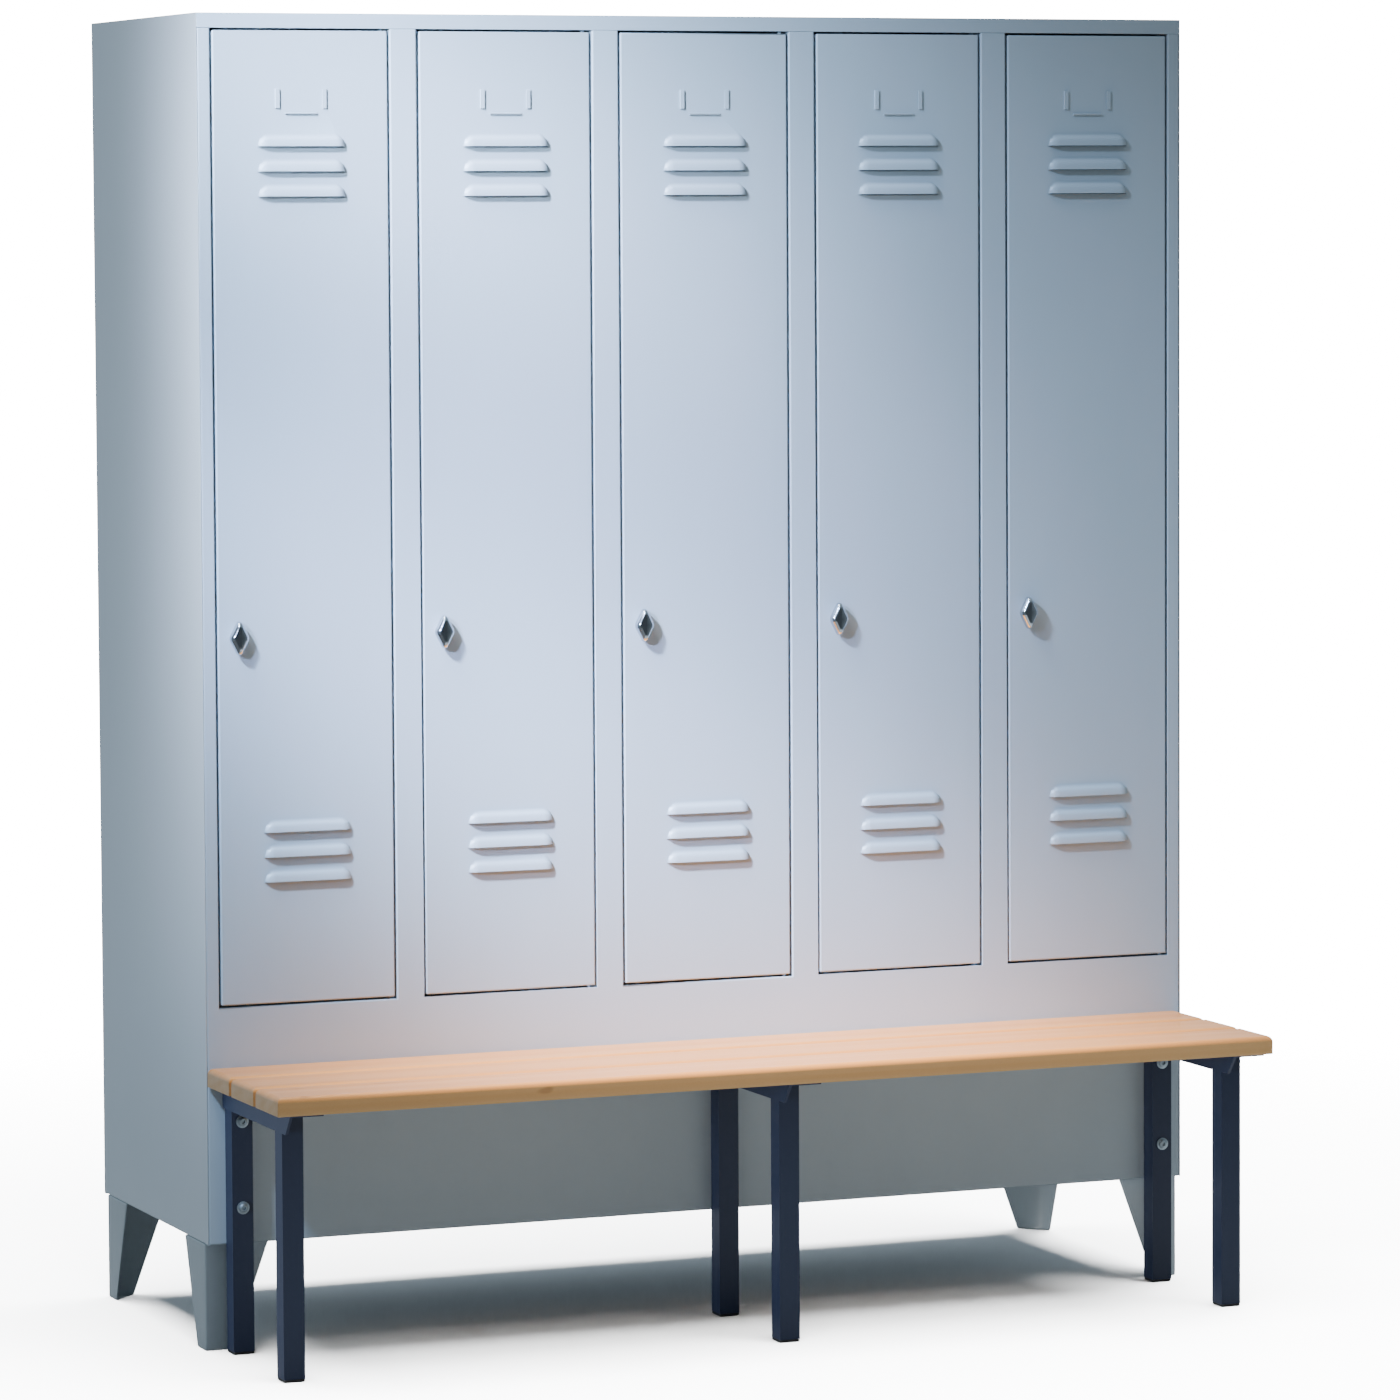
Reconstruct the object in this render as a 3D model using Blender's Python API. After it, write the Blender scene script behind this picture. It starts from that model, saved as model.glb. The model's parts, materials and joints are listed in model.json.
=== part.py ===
"""Five-door clothes locker with a slatted bench in front of it.

Run with: blender --background --python part.py
Metres, +Z up, the doors face -Y, and the origin lies on the floor under the middle of the whole.
"""

import math

import bmesh
import bpy
from mathutils import Matrix, Vector

# Overall sizes
body_width = 1.500
body_depth = 0.500
overall_height = 1.850
leg_height = 0.150
bench_reach = 0.315

# Sheet metal and clearances
body_sheet = 0.0010
seat_gap = 0.0003
weld_distance = 0.00001
cut_overrun = 0.0050

# Door openings in the front frame
door_count = 5
stile_width = 0.040
sill_height = 0.479
rail_height = 0.0207
jamb_depth = 0.025
stop_lip = 0.008
base_return = 0.020

# Doors
door_sheet = 0.0008
door_gap = 0.0032
door_depth = 0.017
door_lip = 0.010
hinge_inset = 0.0080
hinge_setback = 0.0070
hinge_pin_radius = 0.0025
hinge_pin_play = 0.0001
hinge_pin_reach = 0.0080
hinge_pin_root = 0.0050

# Pressed louvres
louvre_count = 3
louvre_width = 0.127
louvre_flat = 0.097
louvre_height = 0.019
louvre_proud = 0.008
louvre_pitch = 0.0345
louvre_slot_lift = 0.0008
louvre_from_top = 0.1407
louvre_from_bottom = 0.1685
louvre_end_shares = (0.0, 0.22, 0.60, 1.0)
louvre_profile_shares = ((0.0, 0.0), (0.30, 0.66), (0.56, 1.0), (1.0, 1.0))

# Label holder
label_width = 0.0740
label_height = 0.0267
label_from_top = 0.0800
label_tab_width = 0.0062
label_tab_sheet = 0.0008
label_tab_proud = 0.0022
label_tab_root = 0.0004
label_ledge_width = 0.0455
label_ledge_drop = 0.0085
label_ledge_height = 0.0028

# Turn handle and its bolt
handle_from_edge = 0.0280
handle_height = 0.9910
handle_width = 0.0278
handle_length = 0.0470
handle_proud = 0.0180
handle_neck_radius = 0.0105
spindle_radius = 0.0075
spindle_play = 0.00015
tenon_side = 0.0080
bolt_sheet = 0.0030
bolt_clearance = 0.0008
bolt_width = 0.0150
bolt_reach = 0.0335
bolt_eye_radius = 0.0110
tenon_proud = 0.0010
handle_side_steps = 4
handle_tip_steps = 6
# Each row: distance out, width, length, radius at the sides and at the tips, as shares of the handle's
handle_section_shares = (
    (0.16, 0.78, 0.45, 0.34, 0.34),
    (0.26, 0.64, 0.52, 0.29, 0.24),
    (0.48, 0.74, 0.78, 0.30, 0.18),
    (0.68, 0.96, 0.97, 0.36, 0.16),
    (0.86, 1.00, 1.00, 0.38, 0.16),
    (1.00, 0.88, 0.93, 0.33, 0.13),
    (0.96, 0.74, 0.84, 0.27, 0.10),
)

# Inside the body
fold = 0.012
floor_fold = 0.020
shelf_height = 1.540
shelf_fold = 0.024
shelf_setback = 0.030
rail_radius = 0.0060
rail_drop = 0.0550
hook_count = 3
hook_wire_radius = 0.0025
hook_stem = 0.0180
hook_bend_radius = 0.0140
hook_sweep = math.radians(215)
hook_steps = 7

# Legs
leg_sheet = 0.002
leg_inset = 0.015
leg_top_width = 0.092
leg_foot_width = 0.038

# Bench
bench_end_gap = 0.0100
bench_top_height = 0.3975
slat_thickness = 0.0260
slat_gap = 0.0090
slat_count = 3
slat_rounding = 0.0080
slat_wall_gap = 0.0030
post_side = 0.030
post_wall = 0.002
post_rear_gap = 0.0006
post_spacing = 0.221
frame_from_left = 0.0410
frame_from_right = 0.0450
middle_frame_share = 0.5113
arm_sheet = 0.004
arm_depth = 0.0300
arm_overhang = 0.0140
arm_front_reach = 0.0490
arm_end_slant = 0.0240
cap_rim_height = 0.004
cap_plug_height = 0.016
cap_play = 0.0003
cap_rim_rounding = 0.0015

# Bench screws
screw_above_body = 0.0550
screw_below_seat = 0.0725
screw_flange_radius = 0.0090
screw_flange_thickness = 0.0016
screw_head_radius = 0.0066
screw_head_height = 0.0052
screw_shank_radius = 0.0040
screw_hole_play = 0.0004
screw_grip = 0.0460
screw_socket_radius = 0.0030
screw_socket_depth = 0.0030
screw_steps = 20

# Everything below follows from the sizes above
body_front = bench_reach - (body_depth + bench_reach) / 2
body_back = body_front + body_depth
bench_front = body_front - bench_reach
body_left = -body_width / 2
body_right = body_width / 2
body_bottom = leg_height
inner_left = body_left + body_sheet + seat_gap
inner_right = body_right - body_sheet - seat_gap
inner_back = body_back - body_sheet - seat_gap
pitch = body_width / door_count
opening_width = pitch - stile_width
rail_bottom = overall_height - rail_height
frame_top = rail_bottom - seat_gap
inner_top = overall_height - body_sheet - seat_gap
door_width = opening_width - 2 * door_gap
door_bottom = sill_height + door_gap
door_top = rail_bottom - door_gap
door_height = door_top - door_bottom
behind_stop = body_front + jamb_depth + body_sheet + seat_gap
frame_places = (
    body_left + frame_from_left, body_left + middle_frame_share * body_width, body_right - frame_from_right
)
screw_heights = (body_bottom + screw_above_body, bench_top_height - screw_below_seat)
base_panel_height = body_bottom + body_sheet + seat_gap

light_grey = (0.57, 0.61, 0.64)
beech = (0.62, 0.42, 0.25)
dark_blue = (0.022, 0.030, 0.050)
black = (0.010, 0.010, 0.012)
bright_metal = (0.72, 0.73, 0.75)
zinc = (0.60, 0.61, 0.62)


def clear_scene():
    for old in list(bpy.data.objects):
        bpy.data.objects.remove(old, do_unlink=True)


def finish(name, colour, roughness, metallic):
    """A Principled material for one piece."""
    material = bpy.data.materials.new(name)
    material.use_nodes = True
    shader = material.node_tree.nodes["Principled BSDF"]
    shader.inputs["Base Color"].default_value = (*colour, 1.0)
    shader.inputs["Roughness"].default_value = roughness
    shader.inputs["Metallic"].default_value = metallic
    return material


def painted(name):
    return finish(name, light_grey, 0.45, 0.0)


def piece(name, bm, material, parent=None):
    """Turn a bmesh into a named object, triangle fans left to the viewport."""
    mesh = bpy.data.meshes.new(name)
    bmesh.ops.remove_doubles(bm, verts=bm.verts[:], dist=weld_distance)
    bm.to_mesh(mesh)
    bm.free()
    mesh.materials.append(material)
    obj = bpy.data.objects.new(name, mesh)
    bpy.context.scene.collection.objects.link(obj)
    if parent:
        obj.parent = parent
    return obj


def axis_empty(name, place, parent=None):
    """An empty on a joint's axis, placed in world coordinates."""
    empty = bpy.data.objects.new(name, None)
    bpy.context.scene.collection.objects.link(empty)
    if parent:
        empty.parent = parent
        place = Vector(place) - parent.location
    empty.location = place
    return empty


def helper(name, bm):
    """A tool for a Boolean: hidden in renders and drawn as wire."""
    mesh = bpy.data.meshes.new(name)
    bm.to_mesh(mesh)
    bm.free()
    obj = bpy.data.objects.new(name, mesh)
    obj.hide_render = True
    obj.display_type = "WIRE"
    bpy.context.scene.collection.objects.link(obj)
    return obj


def boolean(obj, tool, operation):
    step = obj.modifiers.new(operation.title(), "BOOLEAN")
    step.solver = "EXACT"
    step.operation = operation
    step.object = tool


def evaluated_bmesh(obj):
    """The object's mesh with its modifiers applied, as a new bmesh."""
    bpy.context.view_layer.update()
    result = bmesh.new()
    result.from_object(obj, bpy.context.evaluated_depsgraph_get())
    return result


def shade_smooth(obj, angle=math.radians(40)):
    """Smooth shading with the sharp edges kept."""
    mesh = obj.data
    mesh.shade_smooth()
    mesh.set_sharp_from_angle(angle=angle)


def add_box(bm, low, high):
    """A closed box between two corners."""
    size = Vector(high) - Vector(low)
    middle = (Vector(high) + Vector(low)) / 2
    place = Matrix.Translation(middle) @ Matrix.Diagonal((*size, 1.0))
    bmesh.ops.create_cube(bm, size=1.0, matrix=place)


def add_rod(bm, start, end, radius, sides):
    """A closed round rod from one point to another."""
    start = Vector(start)
    run = Vector(end) - start
    turn = Vector((0, 0, 1)).rotation_difference(run).to_matrix().to_4x4()
    place = Matrix.Translation(start + run / 2) @ turn
    bmesh.ops.create_cone(
        bm, cap_ends=True, segments=sides, radius1=radius, radius2=radius, depth=run.length, matrix=place
    )


def add_face(bm, points):
    return bm.faces.new([bm.verts.new(point) for point in points])


def thicken(bm, thickness, press_axis=None):
    """Give an outer skin of flat folded faces its sheet thickness, measured inward.

    Each vertex moves so that every face around it is offset by the same thickness. Where the skin
    is pressed out of a flat face, such as at a louvre, it moves straight along press_axis instead.
    """
    bmesh.ops.remove_doubles(bm, verts=bm.verts[:], dist=weld_distance)
    bm.normal_update()
    moves = {}
    for vert in bm.verts:
        normals = []
        for face in vert.link_faces:
            if all((face.normal - known).length > 0.01 for known in normals):
                normals.append(face.normal.copy())
        if press_axis and all(normal.dot(press_axis) < -0.02 for normal in normals):
            moves[vert] = press_axis * thickness
            continue
        moves[vert] = inward_offset(normals, thickness)
    outer = list(bm.faces)
    rims = [edge for edge in bm.edges if edge.is_boundary]
    inner = {vert: bm.verts.new(vert.co + moves[vert]) for vert in list(bm.verts)}
    rim_pairs = []
    for edge in rims:
        face = edge.link_faces[0]
        first, second = edge.verts
        loop = next(loop for loop in face.loops if loop.edge == edge)
        if loop.vert != first:
            first, second = second, first
        rim_pairs.append((first, second))
    for face in outer:
        bm.faces.new([inner[vert] for vert in reversed(face.verts)])
    for first, second in rim_pairs:
        bm.faces.new((second, first, inner[first], inner[second]))


def inward_offset(normals, thickness):
    """The shortest move that shifts every one of these planes inward by the thickness."""
    basis = Matrix(((0.0,) * 3,) * 3)
    target = Vector((0.0, 0.0, 0.0))
    for normal in normals:
        for row in range(3):
            target[row] -= normal[row] * thickness
            for column in range(3):
                basis[row][column] += normal[row] * normal[column]
    damping = 0.000001
    for row in range(3):
        basis[row][row] += damping
    return basis.inverted() @ target


def folded_sheet(path, start, end, thickness):
    """A sheet with one folded section, drawn in Y and Z, run along X from start to end.

    The outer skin lies to the left of the path, seen along +X.
    """
    bm = bmesh.new()
    for (y_from, z_from), (y_to, z_to) in zip(path, path[1:]):
        add_face(bm, ((start, y_from, z_from), (end, y_from, z_from), (end, y_to, z_to), (start, y_to, z_to)))
    thicken(bm, thickness)
    return bm


def mirror_x(bm):
    bmesh.ops.scale(bm, vec=(-1, 1, 1), verts=bm.verts[:])
    bmesh.ops.reverse_faces(bm, faces=bm.faces[:])


def mirror_y(bm, middle):
    bmesh.ops.translate(bm, vec=(0, -middle, 0), verts=bm.verts[:])
    bmesh.ops.scale(bm, vec=(1, -1, 1), verts=bm.verts[:])
    bmesh.ops.translate(bm, vec=(0, middle, 0), verts=bm.verts[:])
    bmesh.ops.reverse_faces(bm, faces=bm.faces[:])


def opening_edges(index):
    """Left and right edge of one door opening, counted from the left."""
    middle = body_left + (index + 0.5) * pitch
    return middle - opening_width / 2, middle + opening_width / 2


def hinge_place(index):
    right = opening_edges(index)[1] - door_gap
    return Vector((right - hinge_inset, body_front + hinge_setback, door_bottom))


def handle_place(index):
    left = opening_edges(index)[0] + door_gap
    return Vector((left + handle_from_edge, body_front, handle_height))


# Body

def build_side_panel(side):
    """A flat side with a flange folded inward under the body."""
    name = "side_panel_left" if side < 0 else "side_panel_right"
    bm = bmesh.new()
    flange_front = body_front + base_return + body_sheet + seat_gap
    flange_back = body_back - fold - body_sheet - seat_gap
    add_face(bm, (
        (body_left, body_front, body_bottom),
        (body_left, body_front, overall_height),
        (body_left, body_back, overall_height),
        (body_left, body_back, body_bottom),
        (body_left, flange_back, body_bottom),
        (body_left, flange_front, body_bottom),
    ))
    add_face(bm, (
        (body_left, flange_front, body_bottom),
        (body_left, flange_back, body_bottom),
        (body_left + base_return, flange_back, body_bottom),
        (body_left + base_return, flange_front, body_bottom),
    ))
    thicken(bm, body_sheet)
    if side > 0:
        mirror_x(bm)
    return piece(name, bm, painted(name))


def build_front_frame():
    """Apron and stiles in one sheet, every door opening folded back into jambs with a stop lip."""
    bm = bmesh.new()
    outline = [
        (inner_left, body_bottom),
        (inner_right, body_bottom),
        (inner_right, frame_top),
    ]
    for index in reversed(range(door_count)):
        left, right = opening_edges(index)
        outline += [(right, frame_top), (right, sill_height), (left, sill_height), (left, frame_top)]
    outline.append((inner_left, frame_top))
    add_face(bm, [(x, body_front, z) for x, z in outline])
    outer = []
    inside = []
    for edge in bm.edges:
        middle = (edge.verts[0].co + edge.verts[1].co) / 2
        level = abs(edge.verts[0].co.z - edge.verts[1].co.z) < weld_distance
        if level and abs(middle.z - frame_top) < weld_distance:
            continue
        at_side = abs(middle.x - inner_left) < weld_distance or abs(middle.x - inner_right) < weld_distance
        if at_side or abs(middle.z - body_bottom) < weld_distance:
            outer.append(edge)
        else:
            inside.append(edge)
    fold_back(bm, outer, base_return)
    rear = fold_back(bm, inside, jamb_depth)
    lips = bmesh.ops.extrude_edge_only(bm, edges=rear)
    for vert in lips["geom"]:
        if isinstance(vert, bmesh.types.BMVert):
            turn_into_opening(vert)
    orient(bm)
    thicken(bm, body_sheet)
    obj = piece("front_frame", bm, painted("front_frame"))

    holes = bmesh.new()
    for index in range(door_count):
        place = hinge_place(index)
        bottom = place.copy()
        bottom.z = sill_height - body_sheet - cut_overrun
        top = place.copy()
        top.z = sill_height + cut_overrun
        add_rod(holes, bottom, top, hinge_pin_radius + hinge_pin_play, 16)
    for x in screw_columns():
        for z in screw_heights:
            start = (x, body_front - cut_overrun, z)
            end = (x, body_front + body_sheet + cut_overrun, z)
            add_rod(holes, start, end, screw_shank_radius + screw_hole_play, 16)
    boolean(obj, helper("front_frame_holes", holes), "DIFFERENCE")
    return obj


def fold_back(bm, edges, depth):
    """Fold a flange straight back from these edges, and return the flange's rear edges."""
    made = bmesh.ops.extrude_edge_only(bm, edges=edges)["geom"]
    verts = [item for item in made if isinstance(item, bmesh.types.BMVert)]
    bmesh.ops.translate(bm, vec=(0, depth, 0), verts=verts)
    rear = body_front + depth
    return [
        item for item in made
        if isinstance(item, bmesh.types.BMEdge) and all(abs(v.co.y - rear) < weld_distance for v in item.verts)
    ]


def turn_into_opening(vert):
    """Move a lip's free corner into its own door opening."""
    for index in range(door_count):
        left, right = opening_edges(index)
        if abs(vert.co.x - left) < weld_distance:
            vert.co.x += stop_lip
            break
        if abs(vert.co.x - right) < weld_distance:
            vert.co.x -= stop_lip
            break
    if abs(vert.co.z - sill_height) < weld_distance:
        vert.co.z += stop_lip


def orient(bm):
    """Make a skin's normals agree, with the front face looking along -Y."""
    bmesh.ops.remove_doubles(bm, verts=bm.verts[:], dist=weld_distance)
    bmesh.ops.recalc_face_normals(bm, faces=bm.faces[:])
    bm.normal_update()
    front = max(bm.faces, key=lambda face: face.calc_area())
    if front.normal.y > 0:
        bmesh.ops.reverse_faces(bm, faces=bm.faces[:])


def build_top_panel():
    """Top with the folded front rail over the doors, and the upper hinge holes in its return."""
    path = (
        (body_front + jamb_depth, rail_bottom + fold),
        (body_front + jamb_depth, rail_bottom),
        (body_front, rail_bottom),
        (body_front, overall_height),
        (inner_back, overall_height),
        (inner_back, overall_height - fold),
    )
    bm = folded_sheet(path, inner_left, inner_right, body_sheet)
    obj = piece("top_panel", bm, painted("top_panel"))
    holes = bmesh.new()
    for index in range(door_count):
        bottom = hinge_place(index)
        bottom.z = rail_bottom - cut_overrun
        top = bottom.copy()
        top.z = rail_bottom + body_sheet + cut_overrun
        add_rod(holes, bottom, top, hinge_pin_radius + hinge_pin_play, 16)
    boolean(obj, helper("top_panel_holes", holes), "DIFFERENCE")
    return obj


def build_floor_panel():
    """Floor of all the compartments, with a fold down at its front and back."""
    path = (
        (behind_stop, sill_height - floor_fold),
        (behind_stop, sill_height),
        (inner_back, sill_height),
        (inner_back, sill_height - floor_fold),
    )
    bm = folded_sheet(path, inner_left, inner_right, body_sheet)
    return piece("floor_panel", bm, painted("floor_panel"))


def build_base_panel():
    """Bottom of the body, which the legs stand under."""
    front = body_front + body_sheet + seat_gap
    path = (
        (inner_back, base_panel_height + floor_fold),
        (inner_back, base_panel_height),
        (front, base_panel_height),
        (front, base_panel_height + floor_fold),
    )
    left = inner_left + body_sheet + seat_gap
    right = inner_right - body_sheet - seat_gap
    bm = folded_sheet(path, left, right, body_sheet)
    return piece("base_panel", bm, painted("base_panel"))


def build_back_panel():
    """Back sheet with a fold under the body."""
    path = (
        (body_back, overall_height),
        (body_back, body_bottom),
        (body_back - fold, body_bottom),
    )
    bm = folded_sheet(path, inner_left, inner_right, body_sheet)
    return piece("back_panel", bm, painted("back_panel"))


def partition_x(index):
    """Middle plane of the partition to the right of door number index, counted from 0."""
    return body_left + (index + 1) * pitch


def build_partition(index):
    """A wall between two compartments, flanged behind the stile and against the back."""
    name = f"partition_{index + 1}"
    x = partition_x(index) - body_sheet / 2
    front = body_front + body_sheet + seat_gap
    low = sill_height + seat_gap
    under_rail = frame_top
    notch = body_front + jamb_depth + seat_gap
    rear = inner_back - body_sheet - seat_gap
    rear_top = inner_top - 2 * fold
    bm = bmesh.new()
    add_face(bm, (
        (x, front, low),
        (x, front, under_rail),
        (x, notch, under_rail),
        (x, notch, inner_top),
        (x, rear, inner_top),
        (x, rear, rear_top),
        (x, rear, low),
    ))
    add_face(bm, (
        (x, front, low),
        (x + fold, front, low),
        (x + fold, front, under_rail),
        (x, front, under_rail),
    ))
    add_face(bm, (
        (x, rear, low),
        (x, rear, rear_top),
        (x + fold, rear, rear_top),
        (x + fold, rear, low),
    ))
    return bm, name


def compartment_walls(index):
    """Inner faces of the two walls of one compartment."""
    left = inner_left
    if index > 0:
        left = partition_x(index - 1) + body_sheet / 2 + seat_gap
    right = inner_right
    if index < door_count - 1:
        right = partition_x(index) - body_sheet / 2 - seat_gap
    return left, right


def build_shelf(index):
    """Hat shelf: a tray turned over, folded down at its front and back."""
    name = f"hat_shelf_{index + 1}"
    left, right = compartment_walls(index)
    back = inner_back - fold
    front = body_front + shelf_setback
    path = (
        (front + fold, shelf_height - shelf_fold),
        (front, shelf_height - shelf_fold),
        (front, shelf_height),
        (back, shelf_height),
        (back, shelf_height - shelf_fold),
    )
    bm = folded_sheet(path, left, right, body_sheet)
    return piece(name, bm, painted(name))


def build_coat_rail(index):
    """Round rail from wall to wall under the shelf, with wire hooks bent around it."""
    name = f"coat_rail_{index + 1}"
    left, right = compartment_walls(index)
    height = shelf_height - rail_drop
    depth = (body_front + body_back) / 2
    bm = bmesh.new()
    add_rod(bm, (left, depth, height), (right, depth, height), rail_radius, 12)
    obj = piece(name, bm, finish(name, zinc, 0.3, 1.0))
    hooks = bmesh.new()
    for number in range(hook_count):
        x = left + (right - left) * (number + 0.5) / hook_count
        points = [Vector((x, depth, height)), Vector((x, depth, height - rail_radius - hook_stem))]
        centre = points[-1] - Vector((0, hook_bend_radius, 0))
        for step in range(1, hook_steps + 1):
            turn = hook_sweep * step / hook_steps
            out = Vector((0, math.cos(turn), -math.sin(turn))) * hook_bend_radius
            points.append(centre + out)
        add_wire(hooks, points, hook_wire_radius, 6)
    boolean(obj, helper(f"{name}_hooks", hooks), "UNION")
    shade_smooth(obj)
    return obj


def add_wire(bm, points, radius, sides):
    """A closed round wire along points that lie in one plane of constant X."""
    across = Vector((1, 0, 0))
    rings = []
    for index, point in enumerate(points):
        before = points[max(index - 1, 0)]
        after = points[min(index + 1, len(points) - 1)]
        along = (after - before).normalized()
        up = along.cross(across)
        ring = []
        for step in range(sides):
            turn = math.tau * step / sides
            offset = across * math.cos(turn) + up * math.sin(turn)
            ring.append(bm.verts.new(point + offset * radius))
        rings.append(ring)
    close_loft(bm, rings)


def close_loft(bm, rings):
    """Join rings of equal length into a closed body, capped at both ends."""
    first_new = len(bm.faces)
    count = len(rings[0])
    for lower, upper in zip(rings, rings[1:]):
        for step in range(count):
            following = (step + 1) % count
            bm.faces.new((lower[step], lower[following], upper[following], upper[step]))
    bm.faces.new(list(reversed(rings[0])))
    bm.faces.new(rings[-1])
    bm.faces.ensure_lookup_table()
    bmesh.ops.recalc_face_normals(bm, faces=bm.faces[first_new:])


# Legs

def build_leg(side, end):
    """A folded corner leg: two flanges that taper to the foot, closed by a plate at each end."""
    name = f"leg_{'front' if end < 0 else 'rear'}_{'left' if side < 0 else 'right'}"
    top = body_bottom - seat_gap
    x = body_left
    y = body_front + leg_inset
    wide = leg_top_width
    narrow = leg_foot_width
    bm = bmesh.new()
    add_face(bm, ((x, y, 0), (x + narrow, y, 0), (x + wide, y, top), (x, y, top)))
    add_face(bm, ((x, y, 0), (x, y, top), (x, y + wide, top), (x, y + narrow, 0)))
    add_face(bm, ((x, y, top), (x + wide, y, top), (x, y + wide, top)))
    add_face(bm, ((x, y, 0), (x, y + narrow, 0), (x + narrow, y, 0)))
    thicken(bm, leg_sheet)
    if end > 0:
        mirror_y(bm, (body_front + body_back) / 2)
    if side > 0:
        mirror_x(bm)
    return piece(name, bm, painted(name))


# Doors

def louvre_stations():
    """Distances from the louvre's middle, with how far out the hood stands there, as shares."""
    end_run = (louvre_width - louvre_flat) / 2
    right = []
    for share in reversed(louvre_end_shares):
        rise = math.sqrt(max(0.0, 1.0 - (1.0 - share) ** 2))
        right.append((louvre_width / 2 - share * end_run, rise))
    left = [(-x, rise) for x, rise in reversed(right)]
    return left + right


def louvre_skin(bm, middle, low, front):
    """One pressed hood, open at its lower edge, and the points of its outline on the door."""
    columns = []
    for offset, rise in louvre_stations():
        column = []
        for down, out in louvre_profile_shares:
            z = low + louvre_height * rise * (1 - down)
            if down == 1 and rise > 0:
                z = low + louvre_slot_lift
            column.append(bm.verts.new((middle + offset, front - louvre_proud * rise * out, z)))
        if rise == 0:
            for extra in column[1:]:
                bm.verts.remove(extra)
            column = column[:1]
        columns.append(column)
    for left, right in zip(columns, columns[1:]):
        if len(left) == 1:
            for upper, lower in zip(right, right[1:]):
                bm.faces.new((left[0], lower, upper))
        elif len(right) == 1:
            for upper, lower in zip(left, left[1:]):
                bm.faces.new((upper, lower, right[0]))
        else:
            for row in range(len(left) - 1):
                bm.faces.new((left[row], left[row + 1], right[row + 1], right[row]))
    return [column[0].co.copy() for column in columns]


def door_skin():
    """The door's outer skin: a front with six louvres, folded back all round into a tray."""
    bm = bmesh.new()
    left = hinge_inset - door_width
    right = hinge_inset
    middle = (left + right) / 2
    front = -hinge_setback
    lows = [louvre_from_bottom + step * louvre_pitch for step in range(louvre_count)]
    highest = door_height - louvre_from_top - louvre_height
    lows += [highest - step * louvre_pitch for step in reversed(range(louvre_count))]
    floor_line = [Vector((left, front, 0)), Vector((right, front, 0))]
    half = louvre_width / 2
    for low in lows:
        ceiling = [
            Vector((right, front, low)),
            Vector((middle + half, front, low)),
            Vector((middle - half, front, low)),
            Vector((left, front, low)),
        ]
        add_face(bm, floor_line + ceiling)
        crest = louvre_skin(bm, middle, low, front)
        floor_line = [Vector((left, front, low))] + crest + [Vector((right, front, low))]
    add_face(bm, floor_line + [Vector((right, front, door_height)), Vector((left, front, door_height))])
    bmesh.ops.remove_doubles(bm, verts=bm.verts[:], dist=weld_distance)

    def on_outline(vert):
        at_side = min(abs(vert.co.x - left), abs(vert.co.x - right)) < weld_distance
        at_end = min(abs(vert.co.z), abs(vert.co.z - door_height)) < weld_distance
        return at_side or at_end

    rim = [edge for edge in bm.edges if edge.is_boundary and all(on_outline(vert) for vert in edge.verts)]
    made = bmesh.ops.extrude_edge_only(bm, edges=rim)["geom"]
    verts = [item for item in made if isinstance(item, bmesh.types.BMVert)]
    bmesh.ops.translate(bm, vec=(0, door_depth, 0), verts=verts)
    rear = [
        item for item in made
        if isinstance(item, bmesh.types.BMEdge)
        and all(abs(vert.co.y - front - door_depth) < weld_distance for vert in item.verts)
    ]
    made = bmesh.ops.extrude_edge_only(bm, edges=rear)["geom"]
    for vert in made:
        if isinstance(vert, bmesh.types.BMVert):
            if abs(vert.co.z) < weld_distance:
                vert.co.z += door_lip
            elif abs(vert.co.z - door_height) < weld_distance:
                vert.co.z -= door_lip
            if abs(vert.co.x - left) < weld_distance:
                vert.co.x += door_lip
            elif abs(vert.co.x - right) < weld_distance:
                vert.co.x -= door_lip
    orient_door(bm)
    return bm


def orient_door(bm):
    """Make the door skin's normals agree, with its flat front looking along -Y."""
    bmesh.ops.recalc_face_normals(bm, faces=bm.faces[:])
    bm.normal_update()
    front = max(bm.faces, key=lambda face: face.calc_area())
    if front.normal.y > 0:
        bmesh.ops.reverse_faces(bm, faces=bm.faces[:])


def label_holder(bm):
    """Three bent tabs that a card slides behind: one at each side and a ledge below."""
    middle = hinge_inset - door_width / 2
    front = -hinge_setback
    top = door_height - label_from_top
    base = top - label_height
    root = front + label_tab_root
    out = front - label_tab_proud
    under = out + label_tab_sheet
    for side in (-1, 1):
        outer = middle + side * label_width / 2
        foot = outer - side * label_tab_sheet
        tip = outer - side * label_tab_width
        section = [(outer, root), (outer, out), (tip, out), (tip, under), (foot, under), (foot, root)]
        extrude_section(bm, [Vector((x, y, base)) for x, y in section], Vector((0, 0, label_height)))
    low = base - label_ledge_drop
    start = middle - label_ledge_width / 2
    lip = low + label_ledge_height
    foot = low + label_tab_sheet
    section = [(root, low), (out, low), (out, lip), (under, lip), (under, foot), (root, foot)]
    extrude_section(bm, [Vector((start, y, z)) for y, z in section], Vector((label_ledge_width, 0, 0)))


def extrude_section(bm, points, run):
    """A closed prism from a flat section, facing outward."""
    first_new = len(bm.faces)
    base = add_face(bm, points)
    made = bmesh.ops.extrude_face_region(bm, geom=[base])["geom"]
    verts = [item for item in made if isinstance(item, bmesh.types.BMVert)]
    bmesh.ops.translate(bm, vec=run, verts=verts)
    if not any(face == base for face in bm.faces):
        bm.faces.new([bm.verts.new(point) for point in points])
    bm.faces.ensure_lookup_table()
    bmesh.ops.remove_doubles(bm, verts=bm.verts[:], dist=weld_distance)
    bmesh.ops.recalc_face_normals(bm, faces=bm.faces[:])
    return first_new


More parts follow.
